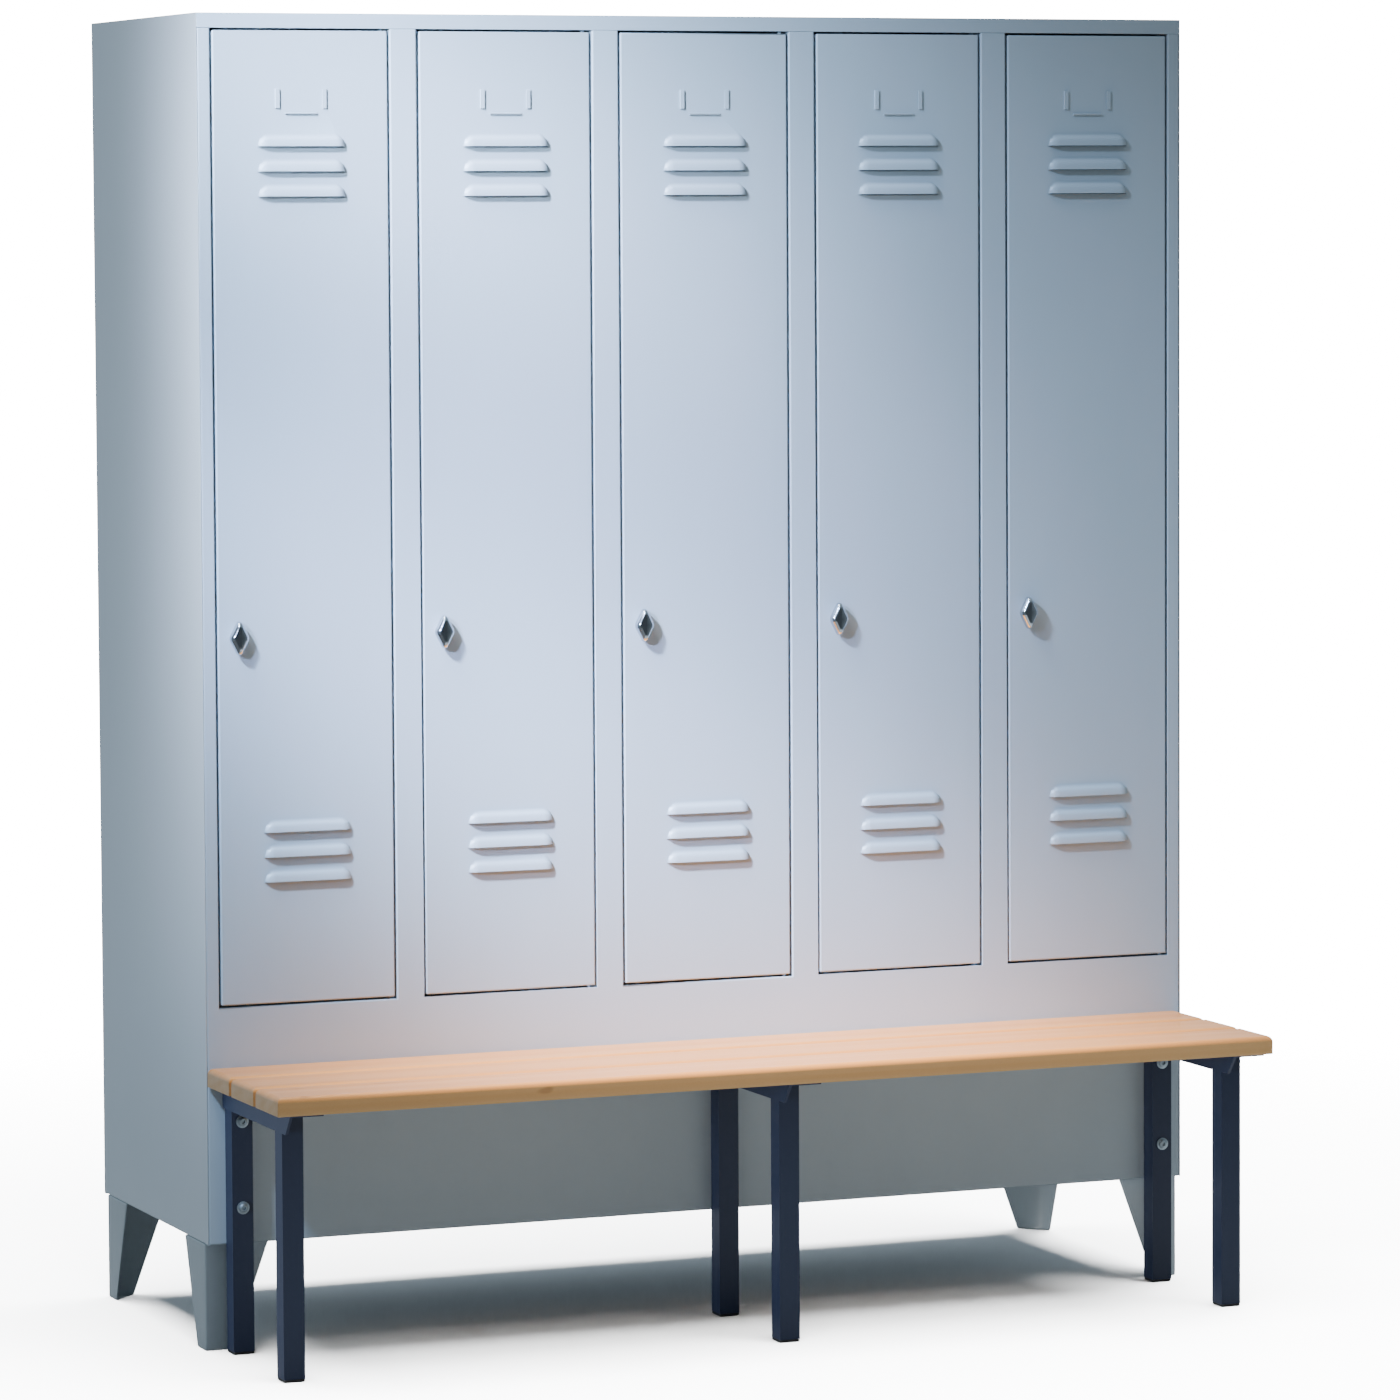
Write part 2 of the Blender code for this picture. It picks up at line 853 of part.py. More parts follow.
def door_pattern():
    """One finished door, its hinge axis at the origin, as a bmesh that all doors copy."""
    bm = door_skin()
    thicken(bm, door_sheet, Vector((0, 1, 0)))
    blank = piece("door_blank", bm, painted("door_blank"))

    added = bmesh.new()
    label_holder(added)
    for level, way in ((0.0, -1), (door_height, 1)):
        root = (0, 0, level - way * hinge_pin_root)
        tip = (0, 0, level + way * (door_gap + hinge_pin_reach))
        add_rod(added, root, tip, hinge_pin_radius, 12)
    boolean(blank, helper("door_additions", added), "UNION")

    cut = bmesh.new()
    x = hinge_inset - door_width + handle_from_edge
    z = handle_height - door_bottom
    start = (x, -hinge_setback - cut_overrun, z)
    end = (x, -hinge_setback + door_sheet + cut_overrun, z)
    add_rod(cut, start, end, spindle_radius + spindle_play, 20)
    boolean(blank, helper("door_cuts", cut), "DIFFERENCE")

    result = evaluated_bmesh(blank)
    for name in ("door_additions", "door_cuts", "door_blank"):
        bpy.data.objects.remove(bpy.data.objects[name], do_unlink=True)
    return result


def build_doors():
    """Five doors from one pattern, each under an empty on its own hinge axis."""
    pattern = door_pattern()
    hinges = []
    for index in range(door_count):
        hinge = axis_empty(f"door_hinge_{index + 1}", hinge_place(index))
        name = f"door_{index + 1}"
        piece(name, pattern.copy(), painted(name), hinge)
        hinges.append(hinge)
    pattern.free()
    return hinges


# Turn handles and their bolts

def lozenge_ring(bm, out, width, length, side, tip):
    """A lozenge around the spindle axis with one radius at its sides and one at its tips."""
    across = width / 2 - side
    along = length / 2 - tip
    lean = math.acos((tip - side) / math.hypot(across, along)) - math.atan2(along, across)
    upright = math.pi / 2
    corners = (
        (across, 0, side, 0, lean, handle_side_steps),
        (0, along, tip, upright, upright - lean, handle_tip_steps),
        (-across, 0, side, math.pi, lean, handle_side_steps),
        (0, -along, tip, math.pi + upright, upright - lean, handle_tip_steps),
    )
    ring = []
    for x, z, radius, middle, spread, steps in corners:
        for step in range(steps):
            turn = middle + spread * (2 * step / (steps - 1) - 1)
            ring.append(bm.verts.new((x + radius * math.cos(turn), -out, z + radius * math.sin(turn))))
    return ring


def ring_turns():
    """Even angles that pair up with the lozenge's points."""
    count = 2 * (handle_side_steps + handle_tip_steps)
    return [(step - (handle_side_steps - 1) / 2) * math.tau / count for step in range(count)]


def round_ring(bm, out, radius):
    return [bm.verts.new((radius * math.cos(turn), -out, radius * math.sin(turn))) for turn in ring_turns()]


def square_ring(bm, out, side):
    """A square with its corners on the ring's own steps."""
    ring = []
    for turn in ring_turns():
        across = math.cos(turn)
        along = math.sin(turn)
        reach = side / 2 / max(abs(across), abs(along))
        ring.append(bm.verts.new((across * reach, -out, along * reach)))
    return ring


def bolt_front():
    """How far behind the door's front the latch bolt's near face lies."""
    return jamb_depth + body_sheet + bolt_clearance


def handle_solid():
    """Handle, spindle and tenon as one loft along the spindle axis."""
    bm = bmesh.new()
    bolt_back = bolt_front() + bolt_sheet
    rings = [
        square_ring(bm, -(bolt_back + tenon_proud), tenon_side),
        square_ring(bm, -(bolt_front() - seat_gap), tenon_side),
        round_ring(bm, -(bolt_front() - seat_gap), spindle_radius),
        round_ring(bm, seat_gap, spindle_radius),
        round_ring(bm, seat_gap, handle_neck_radius),
    ]
    for out, width, length, side, tip in handle_section_shares:
        width_now = width * handle_width
        length_now = length * handle_length
        radii = (side * handle_width, tip * handle_width)
        rings.append(lozenge_ring(bm, out * handle_proud, width_now, length_now, *radii))
    close_loft(bm, rings)
    return bm


def bolt_solid():
    """Latch bolt: a plate with an eye on the spindle and a tongue that hangs down when free."""
    bm = bmesh.new()
    near = bolt_front()
    points = []
    half = bolt_width / 2
    start = math.asin(half / bolt_eye_radius) - math.pi / 2
    steps = 14
    for step in range(steps + 1):
        turn = start + (math.pi - 2 * start) * step / steps
        points.append(Vector((bolt_eye_radius * math.cos(turn), near, bolt_eye_radius * math.sin(turn))))
    corner = half / 2
    points.append(Vector((-half, near, -bolt_reach + corner)))
    points.append(Vector((-half + corner, near, -bolt_reach)))
    points.append(Vector((half - corner, near, -bolt_reach)))
    points.append(Vector((half, near, -bolt_reach + corner)))
    extrude_section(bm, points, Vector((0, bolt_sheet, 0)))
    return bm


def build_latches(hinges):
    """A handle and its bolt for each door, under an empty on the spindle axis."""
    for index, hinge in enumerate(hinges):
        spindle = axis_empty(f"latch_axis_{index + 1}", handle_place(index), hinge)
        name = f"latch_handle_{index + 1}"
        handle = piece(name, handle_solid(), finish(name, bright_metal, 0.12, 1.0), spindle)
        shade_smooth(handle)
        name = f"latch_bolt_{index + 1}"
        bolt = piece(name, bolt_solid(), finish(name, zinc, 0.35, 1.0), spindle)
        eye = bmesh.new()
        half = tenon_side / 2 + seat_gap
        low = (-half, bolt_front() - cut_overrun, -half)
        high = (half, bolt_front() + bolt_sheet + cut_overrun, half)
        add_box(eye, low, high)
        tool = helper(f"latch_bolt_eye_{index + 1}", eye)
        tool.parent = spindle
        boolean(bolt, tool, "DIFFERENCE")


# Bench

def screw_columns():
    """The bench is screwed to the body through its two outer frames."""
    return [frame_places[0], frame_places[-1]]


def post_ranges():
    """Front and back of the rear post and of the front post."""
    rear_back = body_front - post_rear_gap
    rear = (rear_back - post_side, rear_back)
    front = (rear[0] - post_spacing, rear[1] - post_spacing)
    return rear, front


def slat_depth():
    return (bench_reach - slat_wall_gap - (slat_count - 1) * slat_gap) / slat_count


def arm_top():
    return bench_top_height - slat_thickness - seat_gap


def build_slat(index):
    """A beech slat with its upper edges and ends rounded over."""
    name = f"bench_slat_{index + 1}"
    back = body_front - slat_wall_gap - index * (slat_depth() + slat_gap)
    low = (body_left, back - slat_depth(), bench_top_height - slat_thickness)
    high = (body_right - bench_end_gap, back, bench_top_height)
    bm = bmesh.new()
    add_box(bm, low, high)
    upper = [edge for edge in bm.edges if all(vert.co.z > bench_top_height - weld_distance for vert in edge.verts)]
    bmesh.ops.bevel(bm, geom=upper, offset=slat_rounding, segments=3, profile=0.5, affect="EDGES")
    obj = piece(name, bm, finish(name, beech, 0.4, 0.0))
    shade_smooth(obj)
    return obj


def add_tube(bm, x, back, front, low, high):
    """A square tube, open at its lower end and closed by the arm at its top."""
    left = x - post_side / 2
    right = x + post_side / 2
    corners = [(left, front), (right, front), (right, back), (left, back)]
    outer_low = [bm.verts.new((cx, cy, low)) for cx, cy in corners]
    outer_high = [bm.verts.new((cx, cy, high)) for cx, cy in corners]
    wall = post_wall
    shifts = [(wall, wall), (-wall, wall), (-wall, -wall), (wall, -wall)]
    inner = [(cx + dx, cy + dy) for (cx, cy), (dx, dy) in zip(corners, shifts)]
    inner_low = [bm.verts.new((cx, cy, low)) for cx, cy in inner]
    ceiling = high - arm_sheet / 2
    inner_high = [bm.verts.new((cx, cy, ceiling)) for cx, cy in inner]
    for step in range(4):
        following = (step + 1) % 4
        bm.faces.new((outer_low[step], outer_low[following], outer_high[following], outer_high[step]))
        bm.faces.new((inner_low[following], inner_low[step], inner_high[step], inner_high[following]))
        bm.faces.new((outer_low[following], outer_low[step], inner_low[step], inner_low[following]))
    bm.faces.new(outer_high)
    bm.faces.new(list(reversed(inner_high)))


def add_arm(bm, x, back, front):
    """An angle under the slats: one leg flat against them, one against the posts' left faces."""
    top = arm_top()
    outer = x - post_side / 2 - arm_sheet + post_wall / 4
    right = x + post_side / 2 + arm_overhang
    section = (
        (outer, top - arm_depth),
        (outer + arm_sheet, top - arm_depth),
        (outer + arm_sheet, top - arm_sheet),
        (right, top - arm_sheet),
        (right, top),
        (outer, top),
    )
    rear = [bm.verts.new((px, back, pz)) for px, pz in section]
    slope = arm_end_slant / arm_depth
    head = [bm.verts.new((px, front + (top - pz) * slope, pz)) for px, pz in section]
    for step in range(len(section)):
        following = (step + 1) % len(section)
        bm.faces.new((rear[step], head[step], head[following], rear[following]))
    bm.faces.new(rear)
    bm.faces.new(list(reversed(head)))
    bmesh.ops.recalc_face_normals(bm, faces=bm.faces[:])


def build_bench_frame(index):
    """Two square posts and an angle arm welded into one frame."""
    name = f"bench_frame_{('left', 'middle', 'right')[index]}"
    x = frame_places[index]
    rear, front = post_ranges()
    low = cap_rim_height + seat_gap
    high = arm_top() - arm_sheet / 2
    bm = bmesh.new()
    add_arm(bm, x, rear[1], front[0] - arm_front_reach)
    obj = piece(name, bm, finish(name, dark_blue, 0.45, 0.0))
    posts = bmesh.new()
    for near, far in (rear, front):
        add_tube(posts, x, far, near, low, high)
    boolean(obj, helper(f"{name}_posts", posts), "UNION")
    if x in screw_columns():
        holes = bmesh.new()
        for z in screw_heights:
            start = (x, rear[0] - cut_overrun, z)
            end = (x, rear[1] + cut_overrun, z)
            add_rod(holes, start, end, screw_shank_radius + screw_hole_play, 16)
        boolean(obj, helper(f"{name}_holes", holes), "DIFFERENCE")
    return obj


def cut_square_ring(bm, x, y, z, half, corner):
    """A square loop with its corners cut off, at one height."""
    flat = half - corner
    points = (
        (flat, -half), (half, -flat), (half, flat), (flat, half),
        (-flat, half), (-half, flat), (-half, -flat), (-flat, -half),
    )
    return [bm.verts.new((x + dx, y + dy, z)) for dx, dy in points]


def build_post_cap(index, which):
    """Plastic end cap: a plug inside the tube on a rim as wide as the tube."""
    column = ("left", "middle", "right")[index]
    name = f"post_cap_{column}_{('rear', 'front')[which]}"
    near, far = post_ranges()[which]
    x = frame_places[index]
    y = (near + far) / 2
    half = post_side / 2
    plug = half - post_wall - cap_play
    soft = cap_rim_rounding
    bm = bmesh.new()
    rings = [
        cut_square_ring(bm, x, y, 0, half - soft, soft),
        cut_square_ring(bm, x, y, soft, half, soft),
        cut_square_ring(bm, x, y, cap_rim_height, half, soft),
        cut_square_ring(bm, x, y, cap_rim_height, plug, soft),
        cut_square_ring(bm, x, y, cap_plug_height - soft, plug, soft),
        cut_square_ring(bm, x, y, cap_plug_height, plug - soft, soft),
    ]
    close_loft(bm, rings)
    return piece(name, bm, finish(name, black, 0.55, 0.0))


def build_screw(x, z, name):
    """Flanged button-head screw with a hexagon socket, through the rear post into the body."""
    seat = post_ranges()[0][0] - seat_gap
    profile = (
        (0, -screw_head_height),
        (screw_head_radius * 0.62, -screw_head_height),
        (screw_head_radius * 0.90, -screw_head_height * 0.78),
        (screw_head_radius, -screw_flange_thickness * 1.4),
        (screw_flange_radius, -screw_flange_thickness),
        (screw_flange_radius, 0),
        (screw_shank_radius, 0),
        (screw_shank_radius, screw_grip),
        (0, screw_grip),
    )
    bm = bmesh.new()
    rings = []
    for radius, along in profile[1:-1]:
        ring = []
        for step in range(screw_steps):
            turn = math.tau * step / screw_steps
            ring.append(bm.verts.new((x + radius * math.cos(turn), seat + along, z + radius * math.sin(turn))))
        rings.append(ring)
    close_loft(bm, rings)
    obj = piece(name, bm, finish(name, zinc, 0.3, 1.0))
    socket = bmesh.new()
    start = (x, seat - screw_head_height - cut_overrun, z)
    end = (x, seat - screw_head_height + screw_socket_depth, z)
    add_rod(socket, start, end, screw_socket_radius, 6)
    boolean(obj, helper(f"{name}_socket", socket), "DIFFERENCE")
    shade_smooth(obj)
    return obj


def build_bench():
    for index in range(slat_count):
        build_slat(index)
    for index in range(len(frame_places)):
        build_bench_frame(index)
        for which in range(2):
            build_post_cap(index, which)
    for column, x in zip(("left", "right"), screw_columns()):
        for level, z in zip(("lower", "upper"), screw_heights):
            build_screw(x, z, f"bench_screw_{column}_{level}")


def build_body():
    for side in (-1, 1):
        build_side_panel(side)
    build_front_frame()
    build_top_panel()
    build_floor_panel()
    build_base_panel()
    build_back_panel()
    for index in range(door_count - 1):
        bm, name = build_partition(index)
        thicken(bm, body_sheet)
        piece(name, bm, painted(name))
    for index in range(door_count):
        build_shelf(index)
        build_coat_rail(index)
    for side in (-1, 1):
        for end in (-1, 1):
            build_leg(side, end)


def main():
    clear_scene()
    build_body()
    build_latches(build_doors())
    build_bench()
    triangles = 0
    for obj in bpy.context.scene.collection.objects:
        if obj.type == "MESH" and not obj.hide_render:
            bm = evaluated_bmesh(obj)
            triangles += sum(len(face.verts) - 2 for face in bm.faces)
            bm.free()
    print("triangles about", triangles)


main()
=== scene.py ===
"""Looks for a five-door clothes locker with a slatted bench in front of it.

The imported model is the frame. This file makes the folded sheet parts again with rounded folds, and the
bench slats and the turn handles with fuller shapes. It gives every piece its finish and sets up the studio.
"""

import json
import math

import bmesh
import bpy
from bpy.props import FloatProperty, FloatVectorProperty, IntProperty, PointerProperty
from mathutils import Euler, Matrix, Vector

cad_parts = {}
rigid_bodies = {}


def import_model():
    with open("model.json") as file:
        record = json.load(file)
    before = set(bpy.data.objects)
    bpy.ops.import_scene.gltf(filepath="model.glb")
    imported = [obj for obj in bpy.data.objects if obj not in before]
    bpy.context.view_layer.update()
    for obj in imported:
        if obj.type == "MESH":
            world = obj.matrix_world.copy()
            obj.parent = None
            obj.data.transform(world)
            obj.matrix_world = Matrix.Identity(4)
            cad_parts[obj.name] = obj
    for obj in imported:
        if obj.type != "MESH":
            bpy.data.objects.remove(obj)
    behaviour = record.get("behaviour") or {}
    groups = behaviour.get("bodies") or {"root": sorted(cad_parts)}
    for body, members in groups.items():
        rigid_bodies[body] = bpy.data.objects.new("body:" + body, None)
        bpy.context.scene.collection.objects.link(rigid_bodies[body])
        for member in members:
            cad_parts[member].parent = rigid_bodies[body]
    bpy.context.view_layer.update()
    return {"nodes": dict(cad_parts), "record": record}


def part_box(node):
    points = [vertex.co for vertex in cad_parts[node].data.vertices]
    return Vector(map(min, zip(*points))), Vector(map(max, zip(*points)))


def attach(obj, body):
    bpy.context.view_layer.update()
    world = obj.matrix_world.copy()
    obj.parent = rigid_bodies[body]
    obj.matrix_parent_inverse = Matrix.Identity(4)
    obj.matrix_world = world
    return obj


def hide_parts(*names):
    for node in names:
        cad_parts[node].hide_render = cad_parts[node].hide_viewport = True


bl_info = {
    "name": "Clothes Locker with Bench",
    "version": (1, 0, 0),
    "blender": (4, 5, 0),
    "location": "3D View > Sidebar > Locker",
    "description": "Finishes the locker's sheet metal, doors, handles and bench, and lights them",
    "category": "Object",
}

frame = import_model()
bodies = frame["record"]["behaviour"]["bodies"]
door_count = sum(1 for body in bodies if body.startswith("door_"))
slat_count = sum(1 for node in frame["nodes"] if node.startswith("bench_slat_"))
cabinet_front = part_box("front_frame")[0].y

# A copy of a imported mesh: corners this close are one corner, and faces this flat are one face
merge_distance = 0.00001
flat_angle = math.radians(0.6)

# A made piece is shaded sharp where it turns by more than this
sharp_angle = math.radians(40)

# A fold is an outer edge this long or longer, that turns between these angles, with flanges this wide. A
# flange's width is its area over the edge's length, or over the least divisor where the edge is shorter.
shortest_fold = 0.008
fold_angles = (math.radians(60), math.radians(115))
narrowest_flange = 0.004
least_divisor = 0.02
fold_steps = 3

# The wide folds of the front frame have neighbours longer than this many fold radii
frame_room = 1.2

# The label holder is within this reach of a door's top. Its ridges are this proud and this sharp, and are
# rounded by this share of the fold radius.
holder_reach = 0.125
holder_proud = 0.0003
holder_angle = math.radians(50)
holder_rounding = 0.28

# Turn handle: radius of the neck, of the rounded sides and of the rounded tips, as shares of its half width
neck_share = 0.75
side_share = 0.76
tip_share = 0.32
# Each row: distance out, how much of the lozenge is in the outline, and its width and length, as shares
handle_rows = (
    (0.01, 0.00, 1.00, 1.00),
    (0.14, 0.00, 0.98, 0.98),
    (0.20, 0.30, 0.85, 0.85),
    (0.26, 0.72, 0.90, 0.91),
    (0.32, 1.00, 0.965, 0.975),
    (0.38, 1.00, 0.995, 0.996),
    (0.44, 1.00, 1.00, 1.00),
    (0.52, 1.00, 0.99, 0.993),
    (0.60, 1.00, 0.975, 0.982),
    (0.67, 1.00, 0.95, 0.965),
    (0.72, 1.00, 0.92, 0.945),
    (0.76, 1.00, 0.88, 0.915),
    (0.80, 1.00, 0.83, 0.88),
    (0.838, 1.00, 0.775, 0.84),
    (0.874, 1.00, 0.72, 0.795),
    (0.906, 1.00, 0.665, 0.745),
    (0.932, 1.00, 0.605, 0.69),
    (0.952, 1.00, 0.53, 0.62),
    (0.967, 1.00, 0.44, 0.52),
    (0.981, 1.00, 0.32, 0.38),
    (0.992, 1.00, 0.18, 0.22),
    (0.999, 1.00, 0.06, 0.08),
)

# Slats: play in finding the upper and lower edges, least turn and rise of an upright corner, and the
# rounding of the lower edges
level_play = 0.0001
corner_angle = math.radians(28)
corner_rise = 0.0004
underside_radius = 0.001

# Height of the bumps in the finishes that have no setting for it
pore_depth = 0.00006
scratch_depth = 0.000008
cap_grain_depth = 0.00003

# How far the pattern moves from one piece to the next of its kind
door_step = (1.7, 0.0, 0.9)
slat_step = (0.83, 0.37, 0.11)
frame_step = (0.6, 0.0, 0.0)

# Where the lamps on the doors stand: the first two give the handles their double shadow
far_stand = (-4.0, -2.8, 2.6)
near_stand = (-2.7, -1.6, 3.3)
high_stand = (-1.9, -0.9, 4.4)
# Size of a lamp with a crisp shadow, and of one with a soft shadow
crisp = 0.18
soft = 0.5
# Lamps on the doors: stand, aim, half angle in degrees, watts, colour and size
front_lamps = (
    (far_stand, (-0.277, -0.09, 1.022), 5.73, 2223.0, (0.491, 0.608, 1.0), crisp),
    (near_stand, (-0.051, -0.09, 0.618), 6.49, 2995.0, (0.668, 0.749, 1.0), crisp),
    (near_stand, (-0.333, -0.09, 1.589), 5.96, 2264.0, (0.666, 0.717, 1.0), crisp),
    (far_stand, (-0.454, -0.09, 1.816), 5.73, 2256.0, (0.553, 0.743, 1.0), crisp),
    (near_stand, (-0.42, -0.09, 1.25), 20.0, 1090.0, (0.426, 0.652, 1.0), crisp),
    (high_stand, (-0.25, -0.09, 1.15), 15.0, 550.0, (0.85, 0.90, 1.0), soft),
)

# Lamps on the left side panel, all on one stand: depth and height of the aim, half angle in degrees, and
# power as a multiple of the side lamps' setting
side_stand = (-3.2, -2.985, 3.0)
side_aim = -0.55
side_colour = (0.72, 0.80, 1.0)
side_lamps = (
    (-0.535, 1.05, 9.0, 3.2),
    (-0.535, 1.45, 9.0, 4.4),
    (-0.535, 1.86, 9.0, 7.0),
    (0.1, 0.60, 25.0, 0.3),
)

# Warm lamp over the slats
bench_lamp_place = (0.0, -0.435, 4.2)
bench_lamp_aim = (0.04, -0.25, 0.4)
bench_lamp_angle = 13.5
bench_lamp_size = 0.3
bench_lamp_colour = (1.0, 0.64, 0.30)

# Soft boxes: place, aim and side
low_box = ((-9.0, -2.4, 0.6), (0.3, -0.3, 0.2), 1.8)
floor_box = ((0.3, -0.6, 4.6), (0.3, -0.6, 0.0), 6.0)

# Floor: its radius, the distances between which it fades, the stretch of X over which the light that it
# throws back grows, and the colour of that light at the left and at the right
floor_radius = 9.0
floor_points = 96
floor_fade = (1.2, 3.6)
thrown_stretch = (-1.5, -0.3)
thrown_left = (0.012, 0.013, 0.014, 1.0)
thrown_right = (0.060, 0.065, 0.068, 1.0)

# Room: its colour, its light straight in front and overhead, and the strength of the white backdrop
room_colour = (0.71, 0.87, 1.0, 1.0)
straight_glow = 0.09
overhead_glow = 0.4
backdrop_strength = 18.0

# Camera fitted to the photo: metres, radians, millimetres and a share of the frame
camera_place = (-3.25867, -8.07896, 1.57445)
camera_yaw = 0.3863
camera_pitch = 0.0618
camera_roll = -0.0053
camera_sensor = 36.0
camera_shift = -0.08


# Settings


def colour_property(name, description, default):
    return FloatVectorProperty(
        name=name, description=description, default=default, subtype="COLOR", size=3, min=0.0, max=1.0
    )


def length_property(name, description, default, highest):
    return FloatProperty(
        name=name, description=description, default=default, min=0.0, max=highest, subtype="DISTANCE",
        unit="LENGTH", precision=4,
    )


def share_property(name, description, default):
    return FloatProperty(
        name=name, description=description, default=default, min=0.0, max=1.0, subtype="FACTOR"
    )


def count_property(name, description, default, least, most):
    return IntProperty(name=name, description=description, default=default, min=least, max=most)


def power_property(name, description, default):
    return FloatProperty(name=name, description=description, default=default, min=0.0, unit="POWER")


def strength_property(name, description, default):
    return FloatProperty(name=name, description=description, default=default, min=0.0)


class LockerPaintSettings(bpy.types.PropertyGroup):
    """Powder coat on the sheet metal and on the bench frames."""

    sheet_colour: colour_property("Sheet colour", "Powder coat on body and doors", (0.50, 0.575, 0.625))
    fold_radius: length_property("Fold radius", "Outer rounding of the folded sheet", 0.0024, 0.003)
    sheet_roughness: share_property("Sheet roughness", "How matt the body and doors are", 0.38)
    frame_colour: colour_property("Frame colour", "Powder coat on the bench frames", (0.010, 0.018, 0.050))
    frame_roughness: share_property("Frame roughness", "How matt the bench frames are", 0.42)
    grain_size: length_property("Grain size", "Width of one swelling of the orange peel", 0.0012, 0.01)
    grain_depth: length_property("Grain depth", "Height of the orange peel", 0.00002, 0.001)
    wave_depth: length_property("Sheet waviness", "Height of the slow waves in the flat sheet", 0.0004, 0.005)


class LockerWoodSettings(bpy.types.PropertyGroup):
    """Lacquered beech of the seat."""

    pale_colour: colour_property("Pale wood", "Early wood of the beech", (0.84, 0.49, 0.21))
    warm_colour: colour_property("Warm wood", "Late wood of the beech", (0.76, 0.405, 0.15))
    fleck_colour: colour_property("Flecks", "Short dark flecks of the beech", (0.46, 0.21, 0.075))
    lacquer_roughness: share_property("Lacquer roughness", "How matt the lacquer is", 0.34)
    edge_radius: length_property("Edge radius", "Rounding along the slats' upper edges", 0.008, 0.012)
    corner_radius: length_property("Corner radius", "Rounding of the slats' upright corners", 0.0016, 0.01)
    edge_steps: count_property("Edge steps", "Facets across a rounded edge", 6, 2, 12)


class LockerFittingSettings(bpy.types.PropertyGroup):
    """Chromed turn handles, zinc-plated screws, rails and bolts, and plastic caps."""

    chrome_colour: colour_property("Chrome", "Plating of the turn handles", (0.56, 0.59, 0.63))
    zinc_colour: colour_property("Zinc", "Plating of screws, rails and latch bolts", (0.40, 0.46, 0.50))
    cap_colour: colour_property("Cap plastic", "Plastic of the post caps", (0.012, 0.012, 0.014))
    around: count_property("Around", "Points around the handle", 56, 16, 128)


class LockerStageSettings(bpy.types.PropertyGroup):
    """Floor, lamps and camera."""

    floor_colour: colour_property("Floor", "Pale studio floor", (0.88, 0.885, 0.89))
    front_power: strength_property("Front lamps", "Scale of the lamps on the doors", 1.0)
    side_power: power_property("Side lamps", "Unit of power of the lamps on the left side", 980.0)
    bench_power: power_property("Bench lamp", "Lamp over the bench", 2500.0)
    low_power: power_property("Low lamp", "Soft box on the bench frames", 800.0)
    floor_power: power_property("Floor lamp", "Soft box over the floor", 5200.0)
    front_glow: strength_property("Front light", "Even light from the front of the room", 0.235)
    rear_glow: strength_property("Rear light", "More light from the back of the room", 0.46)
    camera_focal: FloatProperty(
        name="Focal length", description="Lens of the camera", default=156.4, min=10.0, unit="CAMERA"
    )


# Node building


def new_group(name, inputs, outputs):
    """A shader node group with its sockets, its input node and its output node."""
    group = bpy.data.node_groups.new(name, "ShaderNodeTree")
    for socket, kind, default in inputs:
        made = group.interface.new_socket(name=socket, in_out="INPUT", socket_type=kind)
        if default is not None:
            made.default_value = default
    for socket, kind in outputs:
        group.interface.new_socket(name=socket, in_out="OUTPUT", socket_type=kind)
    return group, group.nodes.new("NodeGroupInput"), group.nodes.new("NodeGroupOutput")


def add_node(tree, kind, settings=None, values=None):
    """A node with its own settings and with numbers or colours on its sockets."""
    node = tree.nodes.new(kind)
    for name, value in (settings or {}).items():
        setattr(node, name, value)
    for name, value in (values or {}).items():
        node.inputs[name].default_value = value
    return node


def link(tree, source, target):
    tree.links.new(source, target)


def fill_socket(tree, socket, value):
    """Link a socket to another one, or set it to a number or colour."""
    if isinstance(value, bpy.types.NodeSocket):
        link(tree, value, socket)
    else:
        socket.default_value = value


def maths(tree, operation, first, second):
    """A Math node whose two inputs are sockets or numbers."""
    node = add_node(tree, "ShaderNodeMath", {"operation": operation})
    for socket, value in zip(node.inputs, (first, second)):
        fill_socket(tree, socket, value)
    return node.outputs[0]


def remap(tree, value, from_low, from_high, to_low=0.0, to_high=1.0):
    """A value moved smoothly from one range to another, and held at that range's ends."""
    limits = {"From Min": from_low, "From Max": from_high, "To Min": to_low, "To Max": to_high}
    node = add_node(tree, "ShaderNodeMapRange", {"interpolation_type": "SMOOTHSTEP"}, limits)
    link(tree, value, node.inputs["Value"])
    return node.outputs["Result"]


def mix_colour(tree, factor, first, second):
    """Two colours mixed by a factor, each a socket or a value."""
    node = add_node(tree, "ShaderNodeMix", {"data_type": "RGBA"})
    # A Mix node has sockets for every data type: 0 is the factor, and 6 and 7 are the colours
    for index, value in ((0, factor), (6, first), (7, second)):
        fill_socket(tree, node.inputs[index], value)
    return node.outputs[2]


def stretched(tree, vector, scale):
    """The vector scaled by its own factor along each axis."""
    node = add_node(tree, "ShaderNodeVectorMath", {"operation": "MULTIPLY"})
    link(tree, vector, node.inputs[0])
    node.inputs[1].default_value = scale
    return node.outputs[0]


def noise(tree, vector, scale, detail, roughness=0.5, distortion=0.0):
    """A Noise texture's even grey value."""
    values = {"Scale": scale, "Detail": detail, "Roughness": roughness, "Distortion": distortion}
    node = add_node(tree, "ShaderNodeTexNoise", None, values)
    link(tree, vector, node.inputs["Vector"])
    return node.outputs["Fac"]


# What each finish's group puts out
finish_outputs = (
    ("Color", "NodeSocketColor"),
    ("Roughness", "NodeSocketFloat"),
    ("Height", "NodeSocketFloat"),
)


